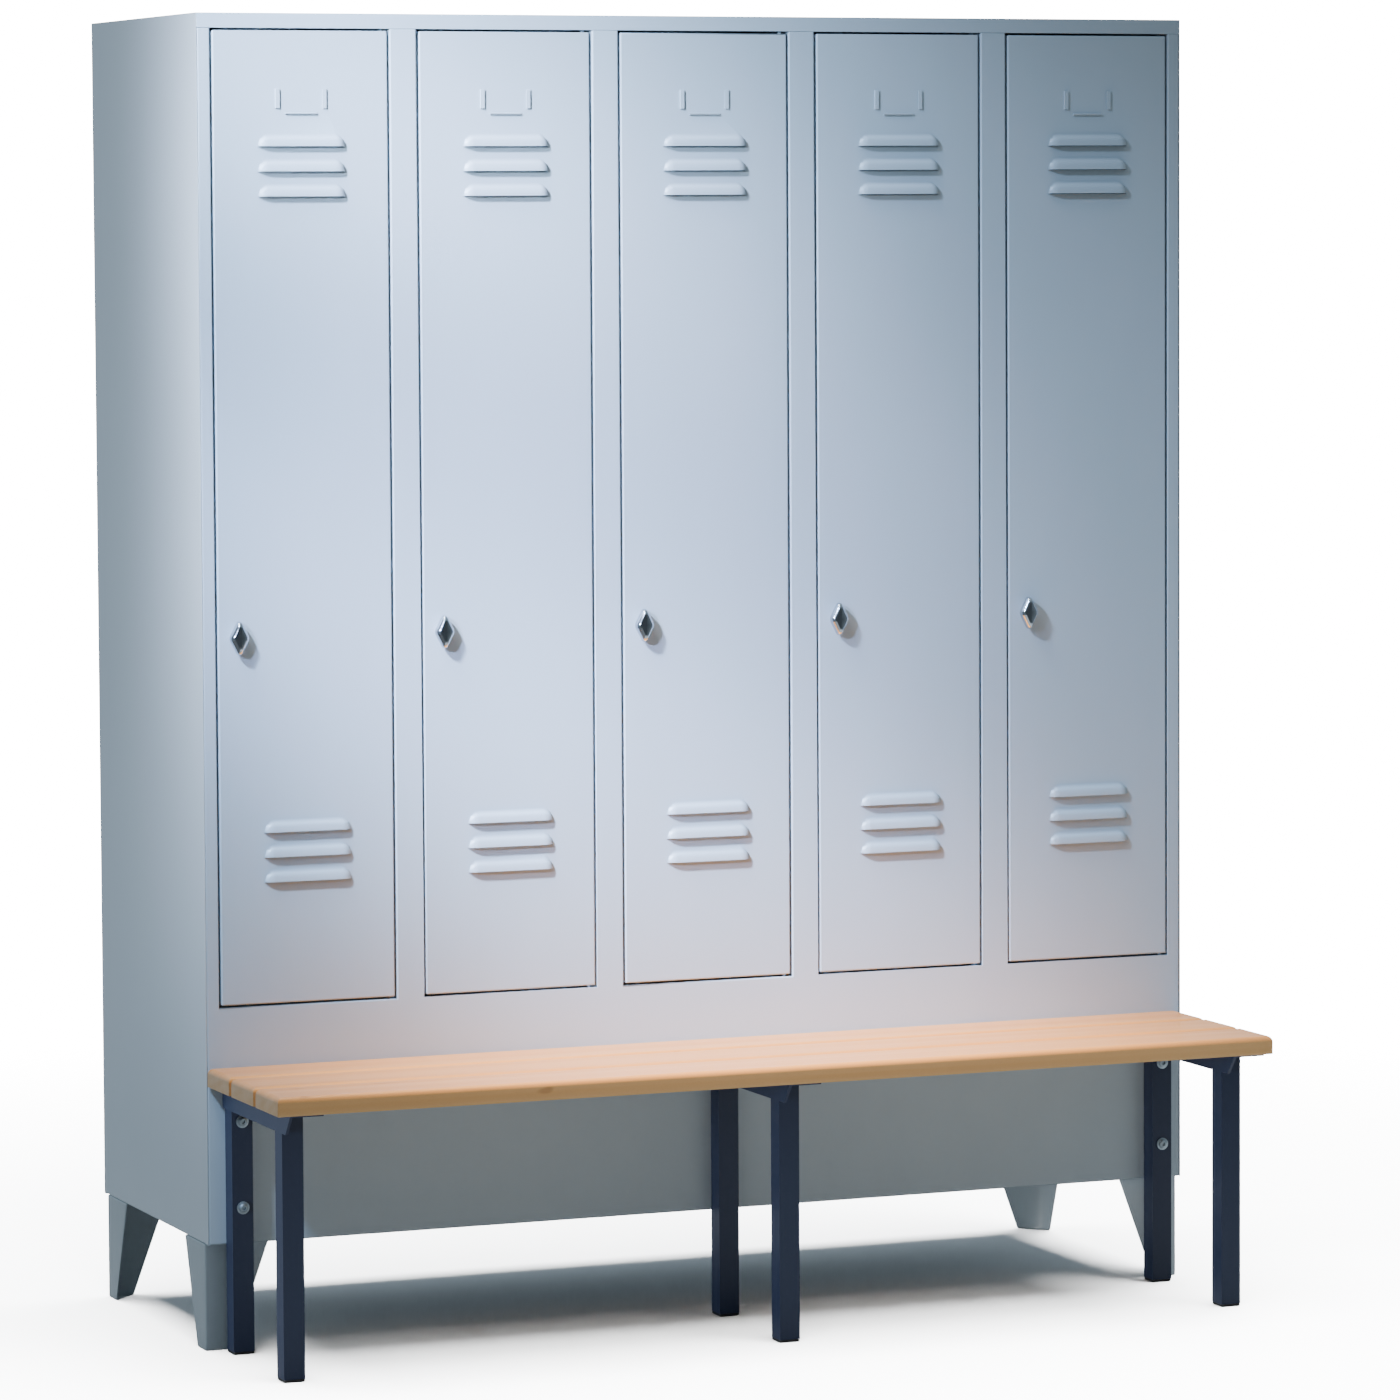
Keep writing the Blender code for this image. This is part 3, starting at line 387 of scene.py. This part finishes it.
def build_powder_group():
    """Powder coat: a cloudy colour, an uneven sheen, orange peel and the slow waves of thin sheet."""
    group, given, result = new_group(
        "Powder Coat",
        (
            ("Vector", "NodeSocketVector", None),
            ("Paint", "NodeSocketColor", (0.5, 0.5, 0.5, 1.0)),
            ("Shade", "NodeSocketColor", (0.45, 0.45, 0.45, 1.0)),
            ("Roughness", "NodeSocketFloat", 0.4),
            ("Grain", "NodeSocketFloat", 1.0),
            ("Wave", "NodeSocketFloat", 1.0),
            ("Peel Scale", "NodeSocketFloat", 800.0),
        ),
        finish_outputs,
    )
    vector = given.outputs["Vector"]
    clouds = remap(group, noise(group, vector, 2.6, 3.0, 0.55), 0.30, 0.72)
    upright = stretched(group, vector, (6.0, 6.0, 1.6))
    smears = remap(group, noise(group, upright, 1.0, 4.0, 0.6), 0.35, 0.75)
    tint = maths(group, "MULTIPLY", maths(group, "ADD", clouds, smears), 0.5)
    colour = mix_colour(group, tint, given.outputs["Shade"], given.outputs["Paint"])
    speck = remap(group, noise(group, vector, 520.0, 1.0), 0.66, 0.76, 0.0, 0.06)
    colour = mix_colour(group, speck, colour, (0.30, 0.31, 0.32, 1.0))
    link(group, colour, result.inputs["Color"])
    uneven = maths(group, "MULTIPLY", maths(group, "SUBTRACT", smears, 0.5), 0.07)
    link(group, maths(group, "ADD", given.outputs["Roughness"], uneven), result.inputs["Roughness"])
    peel = add_node(group, "ShaderNodeTexNoise", None, {"Detail": 1.0, "Roughness": 0.4})
    link(group, vector, peel.inputs["Vector"])
    link(group, given.outputs["Peel Scale"], peel.inputs["Scale"])
    fine = maths(group, "MULTIPLY", peel.outputs["Fac"], given.outputs["Grain"])
    slow = maths(group, "MULTIPLY", noise(group, vector, 3.2, 1.0), given.outputs["Wave"])
    link(group, maths(group, "ADD", fine, slow), result.inputs["Height"])
    return group


def build_beech_group():
    """Beech cut along X: soft bands, faint arches, pale patches, short flecks, pores and small dark marks."""
    group, given, result = new_group(
        "Beech Grain",
        (
            ("Vector", "NodeSocketVector", None),
            ("Pale", "NodeSocketColor", (0.7, 0.5, 0.3, 1.0)),
            ("Warm", "NodeSocketColor", (0.6, 0.35, 0.2, 1.0)),
            ("Fleck", "NodeSocketColor", (0.4, 0.2, 0.1, 1.0)),
            ("Roughness", "NodeSocketFloat", 0.3),
        ),
        finish_outputs,
    )
    vector = given.outputs["Vector"]
    long_grain = stretched(group, vector, (0.9, 34.0, 34.0))
    bands = remap(group, noise(group, long_grain, 1.0, 4.0, 0.55, 0.35), 0.30, 0.70)
    wave = add_node(
        group, "ShaderNodeTexWave", {"wave_type": "RINGS", "rings_direction": "X"},
        {"Scale": 1.0, "Distortion": 5.0, "Detail": 2.0, "Detail Scale": 0.6},
    )
    link(group, stretched(group, vector, (0.55, 13.0, 20.0)), wave.inputs["Vector"])
    arches = remap(group, wave.outputs["Fac"], 0.25, 0.95)
    banded = maths(group, "MULTIPLY", bands, 0.65)
    figure = maths(group, "ADD", banded, maths(group, "MULTIPLY", arches, 0.35))
    colour = mix_colour(group, figure, given.outputs["Pale"], given.outputs["Warm"])
    broad = stretched(group, vector, (2.2, 5.0, 5.0))
    patch = remap(group, noise(group, broad, 1.0, 2.0), 0.35, 0.7, 0.0, 0.35)
    colour = mix_colour(group, patch, colour, given.outputs["Pale"])
    cells = add_node(group, "ShaderNodeTexVoronoi", {"feature": "F1"}, {"Scale": 1.0, "Randomness": 1.0})
    link(group, stretched(group, vector, (240.0, 1500.0, 1500.0)), cells.inputs["Vector"])
    flecks = remap(group, cells.outputs["Distance"], 0.12, 0.30, 1.0, 0.0)
    colour = mix_colour(group, maths(group, "MULTIPLY", flecks, 0.35), colour, given.outputs["Fleck"])
    short_grain = stretched(group, vector, (14.0, 42.0, 42.0))
    knots = remap(group, noise(group, short_grain, 1.0, 1.0), 0.735, 0.79)
    colour = mix_colour(group, maths(group, "MULTIPLY", knots, 0.55), colour, given.outputs["Fleck"])
    link(group, colour, result.inputs["Color"])
    sheen = maths(group, "MULTIPLY", maths(group, "SUBTRACT", figure, 0.5), 0.10)
    link(group, maths(group, "ADD", given.outputs["Roughness"], sheen), result.inputs["Roughness"])
    pores = maths(group, "MULTIPLY", flecks, -0.6)
    link(group, maths(group, "ADD", maths(group, "MULTIPLY", figure, 0.4), pores), result.inputs["Height"])
    return group


def build_handling_group():
    """Fine scratches and finger marks on plated metal."""
    group, given, result = new_group(
        "Handling Marks",
        (
            ("Vector", "NodeSocketVector", None),
            ("Metal", "NodeSocketColor", (0.6, 0.6, 0.6, 1.0)),
            ("Dull", "NodeSocketColor", (0.4, 0.4, 0.4, 1.0)),
            ("Roughness", "NodeSocketFloat", 0.1),
            ("Marks", "NodeSocketFloat", 0.1),
        ),
        finish_outputs,
    )
    vector = given.outputs["Vector"]
    prints = remap(group, noise(group, vector, 95.0, 3.0, 0.6), 0.48, 0.72)
    upright = stretched(group, vector, (2600.0, 2600.0, 130.0))
    scratch = remap(group, noise(group, upright, 1.0, 2.0), 0.58, 0.70)
    printed = maths(group, "MULTIPLY", prints, 0.7)
    marks = maths(group, "ADD", printed, maths(group, "MULTIPLY", scratch, 0.5))
    amount = maths(group, "MULTIPLY", marks, given.outputs["Marks"])
    link(group, maths(group, "ADD", given.outputs["Roughness"], amount), result.inputs["Roughness"])
    dulled = maths(group, "MULTIPLY", prints, 0.4)
    colour = mix_colour(group, dulled, given.outputs["Metal"], given.outputs["Dull"])
    link(group, colour, result.inputs["Color"])
    link(group, maths(group, "MULTIPLY", scratch, -1.0), result.inputs["Height"])
    return group


def finish_material(name, group, values, depth, shader_values, offset=(0.0, 0.0, 0.0)):
    """A Principled material fed by one of the groups, its pattern shifted by an offset."""
    material = bpy.data.materials.new(name)
    material.use_nodes = True
    tree = material.node_tree
    shader = tree.nodes["Principled BSDF"]
    for socket, value in shader_values.items():
        shader.inputs[socket].default_value = value
    place = add_node(tree, "ShaderNodeTexCoord")
    shift = add_node(tree, "ShaderNodeMapping", None, {"Location": offset})
    link(tree, place.outputs["Object"], shift.inputs["Vector"])
    surface = add_node(tree, "ShaderNodeGroup", {"node_tree": group}, values)
    link(tree, shift.outputs["Vector"], surface.inputs["Vector"])
    link(tree, surface.outputs["Color"], shader.inputs["Base Color"])
    link(tree, surface.outputs["Roughness"], shader.inputs["Roughness"])
    bump = add_node(tree, "ShaderNodeBump", None, {"Strength": 1.0, "Distance": depth})
    link(tree, surface.outputs["Height"], bump.inputs["Height"])
    link(tree, bump.outputs["Normal"], shader.inputs["Normal"])
    return material


def opaque(colour, factor=1.0):
    """A colour as a socket takes it, darkened by a factor."""
    return tuple(channel * factor for channel in colour) + (1.0,)


def group_named(name, build):
    """The node group of this name, built when it is first asked for."""
    return bpy.data.node_groups.get(name) or build()


def sheet_paint(name, offset):
    paint = bpy.context.scene.locker_paint
    group = group_named("Powder Coat", build_powder_group)
    values = {
        "Paint": opaque(paint.sheet_colour),
        "Shade": opaque(paint.sheet_colour, 0.955),
        "Roughness": paint.sheet_roughness,
        "Grain": paint.grain_depth / paint.wave_depth,
        "Wave": 1.0,
        "Peel Scale": 1.0 / paint.grain_size,
    }
    return finish_material(name, group, values, paint.wave_depth, {"IOR": 1.5}, offset)


def frame_paint(name, offset):
    paint = bpy.context.scene.locker_paint
    group = group_named("Powder Coat", build_powder_group)
    values = {
        "Paint": opaque(paint.frame_colour),
        "Shade": opaque(paint.frame_colour, 0.86),
        "Roughness": paint.frame_roughness,
        "Grain": 1.0,
        "Wave": 0.0,
        "Peel Scale": 1.0 / paint.grain_size,
    }
    return finish_material(name, group, values, paint.grain_depth, {"IOR": 1.5}, offset)


def beech(name, offset):
    wood = bpy.context.scene.locker_wood
    group = group_named("Beech Grain", build_beech_group)
    values = {
        "Pale": opaque(wood.pale_colour),
        "Warm": opaque(wood.warm_colour),
        "Fleck": opaque(wood.fleck_colour),
        "Roughness": wood.lacquer_roughness,
    }
    lacquer = {"IOR": 1.45, "Specular IOR Level": 0.38, "Coat Weight": 0.32, "Coat Roughness": 0.13}
    return finish_material(name, group, values, pore_depth, lacquer, offset)


def plating(name, colour, roughness, marks):
    group = group_named("Handling Marks", build_handling_group)
    values = {
        "Metal": opaque(colour),
        "Dull": opaque(colour, 0.82),
        "Roughness": roughness,
        "Marks": marks,
    }
    return finish_material(name, group, values, scratch_depth, {"Metallic": 1.0})


def cap_plastic(name):
    fittings = bpy.context.scene.locker_fittings
    group = group_named("Powder Coat", build_powder_group)
    values = {
        "Paint": opaque(fittings.cap_colour),
        "Shade": opaque(fittings.cap_colour, 0.7),
        "Roughness": 0.5,
        "Grain": 1.0,
        "Wave": 0.0,
        "Peel Scale": 1600.0,
    }
    return finish_material(name, group, values, cap_grain_depth, {"IOR": 1.46})


# Piece building


def nodes_named(*starts):
    return sorted(name for name in frame["nodes"] if name.startswith(starts))


def pattern_offset(number, step):
    """Offset of the pattern on the piece of this number."""
    return tuple(number * distance for distance in step)


def dress_node(name, material):
    """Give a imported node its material."""
    node = frame["nodes"][name]
    node.data.materials.clear()
    node.data.materials.append(material)


def make_piece(name, bm, material, body, replaced):
    """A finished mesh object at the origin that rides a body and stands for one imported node."""
    mesh = bpy.data.meshes.new(name)
    bm.to_mesh(mesh)
    bm.free()
    mesh.shade_smooth()
    mesh.set_sharp_from_angle(angle=sharp_angle)
    mesh.materials.append(material)
    piece = bpy.data.objects.new(name, mesh)
    bpy.context.scene.collection.objects.link(piece)
    even = piece.modifiers.new("Even shading", "WEIGHTED_NORMAL")
    even.keep_sharp = True
    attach(piece, body)
    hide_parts(replaced)


def merged_copy(name):
    """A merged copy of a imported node, with its triangles joined again into flat faces."""
    bm = bmesh.new()
    bm.from_mesh(frame["nodes"][name].data)
    bmesh.ops.remove_doubles(bm, verts=bm.verts[:], dist=merge_distance)
    bmesh.ops.dissolve_limit(
        bm, angle_limit=flat_angle, use_dissolve_boundaries=False, verts=bm.verts[:], edges=bm.edges[:]
    )
    bm.normal_update()
    return bm


def round_edges(bm, edges, radius, steps, held=True):
    """Round these edges. A held rounding stops where it would meet another one."""
    if edges:
        bmesh.ops.bevel(
            bm, geom=edges, offset=radius, segments=steps, profile=0.5, affect="EDGES", material=-1,
            clamp_overlap=held,
        )


def is_fold(edge):
    """True for an outer corner between two wide faces, such as a fold in sheet metal."""
    length = edge.calc_length()
    if len(edge.link_faces) != 2 or length < shortest_fold or not edge.is_convex:
        return False
    if not fold_angles[0] < edge.calc_face_angle() < fold_angles[1]:
        return False
    return all(face.calc_area() / max(length, least_divisor) > narrowest_flange for face in edge.link_faces)


def round_label_holder(bm, lowest, radius):
    """Round the ridges of the label holder, which stands proud of the door above its louvres."""
    flats = (face for face in bm.faces if face.normal.y < -0.99)
    front = max(flats, key=lambda face: face.calc_area()).calc_center_median().y
    ridges = [
        edge for edge in bm.edges
        if edge.is_convex and len(edge.link_faces) == 2 and edge.calc_face_angle() > holder_angle
        and all(vert.co.y < front - holder_proud and vert.co.z > lowest for vert in edge.verts)
    ]
    round_edges(bm, ridges, radius, fold_steps)


def round_folds(bm, radius, rooms):
    """Round the folds whose neighbours are all longer than the first room, then those for the next room."""
    for room in rooms:
        folds = [
            edge for edge in bm.edges
            if is_fold(edge)
            and all(other.calc_length() > room for vert in edge.verts for other in vert.link_edges)
        ]
        round_edges(bm, folds, radius, fold_steps)
        bm.normal_update()


def folded_piece(name, material, body, radius, holder_height=None):
    """A packed sheet part again, with its folds rounded, and its label holder above this height."""
    bm = merged_copy(name)
    if holder_height:
        round_label_holder(bm, holder_height, radius * holder_rounding)
    # The front frame's cramped inner folds would hold back the wide ones, so the wide ones are rounded first
    round_folds(bm, radius, (radius * frame_room, 0.0) if name == "front_frame" else (0.0,))
    make_piece(f"folded_{name}", bm, material, body, name)


def lozenge_point(turn, half_width, half_length, side_radius, tip_radius):
    """A point on a lozenge whose sides and tips are rounded, at an angle of its outline."""
    across = half_width - side_radius
    along = half_length - tip_radius
    lean = math.acos((tip_radius - side_radius) / math.hypot(across, along)) - math.atan2(along, across)
    x = math.cos(turn)
    z = math.sin(turn)
    if abs(math.atan2(z, abs(x))) < lean:
        return math.copysign(across, x) + side_radius * x, side_radius * z
    return tip_radius * x, math.copysign(along, z) + tip_radius * z


class LOCKER_OT_body(bpy.types.Operator):
    """Body panels, inner walls, shelves and legs, folded and powder coated"""

    bl_idname = "locker.body"
    bl_label = "Body"

    def execute(self, context):
        radius = context.scene.locker_paint.fold_radius
        coat = sheet_paint("sheet_grey_body", (0.0, 0.0, 0.0))
        for name in nodes_named(
            "side_panel", "front_frame", "top_panel", "floor_panel", "base_panel", "back_panel", "partition",
            "hat_shelf", "leg_",
        ):
            folded_piece(name, coat, "cabinet", radius)
        return {"FINISHED"}


class LOCKER_OT_doors(bpy.types.Operator):
    """Louvred doors, each with its own patch of the coat"""

    bl_idname = "locker.doors"
    bl_label = "Doors"

    def execute(self, context):
        radius = context.scene.locker_paint.fold_radius
        for number in range(1, door_count + 1):
            name = f"door_{number}"
            coat = sheet_paint(f"sheet_grey_door_{number}", pattern_offset(number, door_step))
            folded_piece(name, coat, name, radius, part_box(name)[1].z - holder_reach)
        return {"FINISHED"}


class LOCKER_OT_handles(bpy.types.Operator):
    """Turn handles: a neck that swells into a rounded lozenge with a broad bevel and a domed face"""

    bl_idname = "locker.handles"
    bl_label = "Turn handles"

    def execute(self, context):
        fittings = context.scene.locker_fittings
        chrome = plating("chrome_handles", fittings.chrome_colour, roughness=0.09, marks=0.10)
        for number in range(1, door_count + 1):
            node = f"latch_handle_{number}"
            bm = self.handle_mesh(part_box(node), fittings.around)
            make_piece(f"turn_handle_{number}", bm, chrome, f"latch_{number}", node)
        return {"FINISHED"}

    def handle_mesh(self, box, around):
        low, high = box
        middle = (low + high) / 2
        half_width = (high.x - low.x) / 2
        half_length = (high.z - low.z) / 2
        proud = cabinet_front - low.y
        neck = neck_share * half_width
        bm = bmesh.new()
        turn = bm.verts.layers.float.new("turn")
        towards_front = Matrix.Rotation(math.radians(90), 4, "X")
        ring = bmesh.ops.create_circle(
            bm, cap_ends=False, radius=neck, segments=around, matrix=towards_front
        )["verts"]
        for vert in ring:
            vert[turn] = math.atan2(vert.co.z, vert.co.x)
        edges = bm.edges[:]
        for step, (out, share, across, along) in enumerate(handle_rows):
            if step:
                made = bmesh.ops.extrude_edge_only(bm, edges=edges)["geom"]
                ring = [item for item in made if isinstance(item, bmesh.types.BMVert)]
                fresh = set(ring)
                edges = [
                    item for item in made
                    if isinstance(item, bmesh.types.BMEdge) and fresh.issuperset(item.verts)
                ]
            for vert in ring:
                x, z = lozenge_point(
                    vert[turn], half_width, half_length, side_share * half_width, tip_share * half_width
                )
                vert.co.x = (neck * math.cos(vert[turn]) * (1 - share) + x * share) * across
                vert.co.z = (neck * math.sin(vert[turn]) * (1 - share) + z * share) * along
                vert.co.y = -out * proud
        bmesh.ops.contextual_create(bm, geom=edges)
        bmesh.ops.recalc_face_normals(bm, faces=bm.faces[:])
        # The last face made closes the front, so it has to look along -Y
        if bm.faces[-1].normal.y > 0:
            bmesh.ops.reverse_faces(bm, faces=bm.faces[:])
        bmesh.ops.translate(bm, vec=(middle.x, cabinet_front, middle.z), verts=bm.verts[:])
        return bm


class LOCKER_OT_plated_parts(bpy.types.Operator):
    """Finish the coat rails, the latch bolts and the bench screws"""

    bl_idname = "locker.plated_parts"
    bl_label = "Rails, bolts and screws"

    def execute(self, context):
        fittings = context.scene.locker_fittings
        zinc = plating("zinc_plating", fittings.zinc_colour, roughness=0.46, marks=0.20)
        for name in nodes_named("coat_rail", "latch_bolt", "bench_screw"):
            dress_node(name, zinc)
        return {"FINISHED"}


class LOCKER_OT_bench_slats(bpy.types.Operator):
    """Beech slats with rounded upper edges and ends"""

    bl_idname = "locker.bench_slats"
    bl_label = "Bench slats"

    def execute(self, context):
        for number in range(1, slat_count + 1):
            node = f"bench_slat_{number}"
            piece_name = f"beech_slat_{number}"
            material = beech(piece_name, pattern_offset(number, slat_step))
            bm = self.slat_mesh(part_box(node), context.scene.locker_wood)
            make_piece(piece_name, bm, material, "cabinet", node)
        return {"FINISHED"}

    def slat_mesh(self, box, wood):
        low, high = box
        bm = bmesh.new()
        bmesh.ops.create_cube(bm, size=1.0)
        bmesh.ops.scale(bm, vec=high - low, verts=bm.verts[:])
        bmesh.ops.translate(bm, vec=(low + high) / 2, verts=bm.verts[:])
        upper = [edge for edge in bm.edges if all(vert.co.z > high.z - level_play for vert in edge.verts)]
        round_edges(bm, upper, wood.edge_radius, wood.edge_steps, held=False)
        bm.normal_update()
        corners = [
            edge for edge in bm.edges
            if edge.calc_face_angle() > corner_angle
            and abs(edge.verts[0].co.z - edge.verts[1].co.z) > corner_rise
        ]
        round_edges(bm, corners, wood.corner_radius, steps=2)
        under = [edge for edge in bm.edges if all(vert.co.z < low.z + level_play for vert in edge.verts)]
        round_edges(bm, under, underside_radius, steps=2, held=False)
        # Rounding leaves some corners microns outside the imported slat's box
        for vert in bm.verts:
            vert.co = Vector(max(least, min(most, at)) for least, most, at in zip(low, high, vert.co))
        return bm


class LOCKER_OT_bench_frames(bpy.types.Operator):
    """Paint the bench frames and finish their plastic caps"""

    bl_idname = "locker.bench_frames"
    bl_label = "Bench frames"

    def execute(self, context):
        for number, name in enumerate(nodes_named("bench_frame")):
            dress_node(name, frame_paint(f"frame_blue_{number + 1}", pattern_offset(number, frame_step)))
        plastic = cap_plastic("cap_black")
        for name in nodes_named("post_cap"):
            dress_node(name, plastic)
        return {"FINISHED"}


class LOCKER_OT_stage(bpy.types.Operator):
    """Pale floor, studio lamps and the camera"""

    bl_idname = "locker.stage"
    bl_label = "Stage"

    def execute(self, context):
        stage = context.scene.locker_stage
        floor = self.floor(stage)
        self.world(context.scene, stage)
        self.lamps(stage, floor)
        self.camera(context.scene, stage)
        return {"FINISHED"}

    def lamps(self, stage, floor):
        """Lamps that each light only their own part of the object, or the floor."""
        pieces = bpy.data.objects
        sides = [piece for piece in pieces if piece.name.startswith(("folded_side_panel", "folded_leg"))]
        slats = [piece for piece in pieces if piece.name.startswith("beech_slat")]
        tubes = [frame["nodes"][name] for name in nodes_named("bench_frame", "post_cap")]
        for number, (place, aim, half_angle, power, colour, size) in enumerate(front_lamps):
            lamp = self.beam(
                f"front_lamp_{number + 1}", place, aim, half_angle, power * stage.front_power, colour, size
            )
            self.light_only(lamp, sides + slats + tubes + [floor], "EXCLUDE")
        for number, (depth, height, half_angle, share) in enumerate(side_lamps):
            lamp = self.beam(
                f"side_lamp_{number + 1}", side_stand, (side_aim, depth, height), half_angle,
                stage.side_power * share, side_colour, crisp,
            )
            self.light_only(lamp, [pieces["folded_side_panel_left"]], "INCLUDE")
        lamp = self.beam(
            "bench_lamp", bench_lamp_place, bench_lamp_aim, bench_lamp_angle, stage.bench_power,
            bench_lamp_colour, bench_lamp_size,
        )
        self.light_only(lamp, slats, "INCLUDE")
        lamp = self.soft_box("low_box", *low_box, stage.low_power)
        self.light_only(lamp, tubes + [piece for piece in sides if piece.name.endswith("_right")], "INCLUDE")
        lamp = self.soft_box("floor_box", *floor_box, stage.floor_power)
        self.light_only(lamp, [floor], "INCLUDE")

    def light_only(self, lamp, pieces, state):
        """Let a lamp light only these pieces, or all but these."""
        receivers = bpy.data.collections.new(f"{lamp.name}_receivers")
        for piece in pieces:
            receivers.objects.link(piece)
        for entry in receivers.collection_objects:
            entry.light_linking.link_state = state
        lamp.light_linking.receiver_collection = receivers

    def floor(self, stage):
        """Pale floor that fades into the backdrop and throws little light back up, least at the left."""
        bm = bmesh.new()
        bmesh.ops.create_circle(bm, cap_ends=True, radius=floor_radius, segments=floor_points)
        mesh = bpy.data.meshes.new("studio_floor")
        bm.to_mesh(mesh)
        bm.free()
        material = bpy.data.materials.new("studio_floor")
        material.use_nodes = True
        tree = material.node_tree
        shader = tree.nodes["Principled BSDF"]
        shader.inputs["Roughness"].default_value = 0.9
        shader.inputs["Specular IOR Level"].default_value = 0.0
        path = add_node(tree, "ShaderNodeLightPath")
        place = add_node(tree, "ShaderNodeTexCoord")
        across = add_node(tree, "ShaderNodeSeparateXYZ")
        link(tree, place.outputs["Object"], across.inputs[0])
        to_right = remap(tree, across.outputs["X"], *thrown_stretch)
        thrown = mix_colour(tree, to_right, thrown_left, thrown_right)
        seen = mix_colour(tree, path.outputs["Is Camera Ray"], thrown, opaque(stage.floor_colour))
        link(tree, seen, shader.inputs["Base Color"])
        reach = add_node(tree, "ShaderNodeVectorMath", {"operation": "LENGTH"})
        link(tree, place.outputs["Object"], reach.inputs[0])
        link(tree, remap(tree, reach.outputs["Value"], *floor_fade, 1.0, 0.0), shader.inputs["Alpha"])
        mesh.materials.append(material)
        floor = bpy.data.objects.new("studio_floor", mesh)
        bpy.context.scene.collection.objects.link(floor)
        return floor

    def world(self, scene, stage):
        """White behind the object, and a dim room, darkest straight in front, lighter behind and overhead."""
        world = bpy.data.worlds.new("studio")
        scene.world = world
        world.use_nodes = True
        tree = world.node_tree
        tree.nodes.clear()
        way = add_node(tree, "ShaderNodeSeparateXYZ")
        link(tree, add_node(tree, "ShaderNodeTexCoord").outputs["Generated"], way.inputs[0])
        front = remap(tree, way.outputs["Y"], -0.97, -0.60, straight_glow, stage.front_glow)
        rear = remap(tree, way.outputs["Y"], -0.40, 0.75, 0.0, stage.rear_glow)
        overhead = remap(tree, way.outputs["Z"], 0.25, 0.9, 0.0, overhead_glow)
        room = add_node(tree, "ShaderNodeBackground", None, {"Color": room_colour})
        around = maths(tree, "ADD", front, rear)
        link(tree, maths(tree, "ADD", around, overhead), room.inputs["Strength"])
        backdrop = {"Color": (1.0, 1.0, 1.0, 1.0), "Strength": backdrop_strength}
        white = add_node(tree, "ShaderNodeBackground", None, backdrop)
        choose = add_node(tree, "ShaderNodeMixShader")
        link(tree, add_node(tree, "ShaderNodeLightPath").outputs["Is Camera Ray"], choose.inputs["Fac"])
        link(tree, room.outputs[0], choose.inputs[1])
        link(tree, white.outputs[0], choose.inputs[2])
        output = add_node(tree, "ShaderNodeOutputWorld")
        link(tree, choose.outputs[0], output.inputs["Surface"])

    def place_lamp(self, name, light, place, aim):
        lamp = bpy.data.objects.new(name, light)
        lamp.location = place
        lamp.rotation_euler = (Vector(aim) - Vector(place)).to_track_quat("-Z", "Y").to_euler()
        lamp.visible_camera = False
        bpy.context.scene.collection.objects.link(lamp)
        return lamp

    def beam(self, name, place, aim, half_angle, power, colour, size):
        light = bpy.data.lights.new(name, "SPOT")
        light.spot_size = 2 * math.radians(half_angle)
        light.spot_blend = 1.0
        light.shadow_soft_size = size
        light.energy = power
        light.color = colour
        return self.place_lamp(name, light, place, aim)

    def soft_box(self, name, place, aim, side, power):
        light = bpy.data.lights.new(name, "AREA")
        light.shape = "SQUARE"
        light.size = side
        light.energy = power
        return self.place_lamp(name, light, place, aim)

    def camera(self, scene, stage):
        """Camera at the photo's viewing angle."""
        lens = bpy.data.cameras.new("photo_camera")
        lens.sensor_width = camera_sensor
        lens.lens = stage.camera_focal
        lens.shift_y = camera_shift
        lens.clip_end = 100.0
        camera = bpy.data.objects.new("photo_camera", lens)
        camera.location = camera_place
        level = Euler((math.pi / 2 - camera_pitch, 0.0, -camera_yaw), "XYZ").to_matrix()
        camera.rotation_euler = (level @ Matrix.Rotation(camera_roll, 3, "Z")).to_euler()
        scene.collection.objects.link(camera)
        scene.camera = camera


class LOCKER_PT_panel(bpy.types.Panel):
    """Lists the locker's pieces and finishes in the sidebar"""

    bl_idname = "LOCKER_PT_panel"
    bl_label = "Clothes Locker"
    bl_space_type = "VIEW_3D"
    bl_region_type = "UI"
    bl_category = "Locker"

    def draw(self, context):
        layout = self.layout
        for operator in piece_operators:
            layout.operator(operator.bl_idname)
        for attribute, group in setting_groups:
            box = layout.box()
            for name in group.__annotations__:
                box.prop(getattr(context.scene, attribute), name)


piece_operators = (
    LOCKER_OT_body, LOCKER_OT_doors, LOCKER_OT_handles, LOCKER_OT_plated_parts, LOCKER_OT_bench_slats,
    LOCKER_OT_bench_frames, LOCKER_OT_stage,
)
setting_groups = (
    ("locker_paint", LockerPaintSettings), ("locker_wood", LockerWoodSettings),
    ("locker_fittings", LockerFittingSettings), ("locker_stage", LockerStageSettings),
)


def register():
    for name, settings in setting_groups:
        bpy.utils.register_class(settings)
        setattr(bpy.types.Scene, name, PointerProperty(type=settings))
    for operator in piece_operators:
        bpy.utils.register_class(operator)
    bpy.utils.register_class(LOCKER_PT_panel)


def unregister():
    bpy.utils.unregister_class(LOCKER_PT_panel)
    for operator in reversed(piece_operators):
        bpy.utils.unregister_class(operator)
    for name, settings in reversed(setting_groups):
        delattr(bpy.types.Scene, name)
        bpy.utils.unregister_class(settings)


def main():
    """Make every piece in order."""
    register()
    bpy.ops.locker.body()
    bpy.ops.locker.doors()
    bpy.ops.locker.handles()
    bpy.ops.locker.plated_parts()
    bpy.ops.locker.bench_slats()
    bpy.ops.locker.bench_frames()
    bpy.ops.locker.stage()


if __name__ == "__main__":
    main()
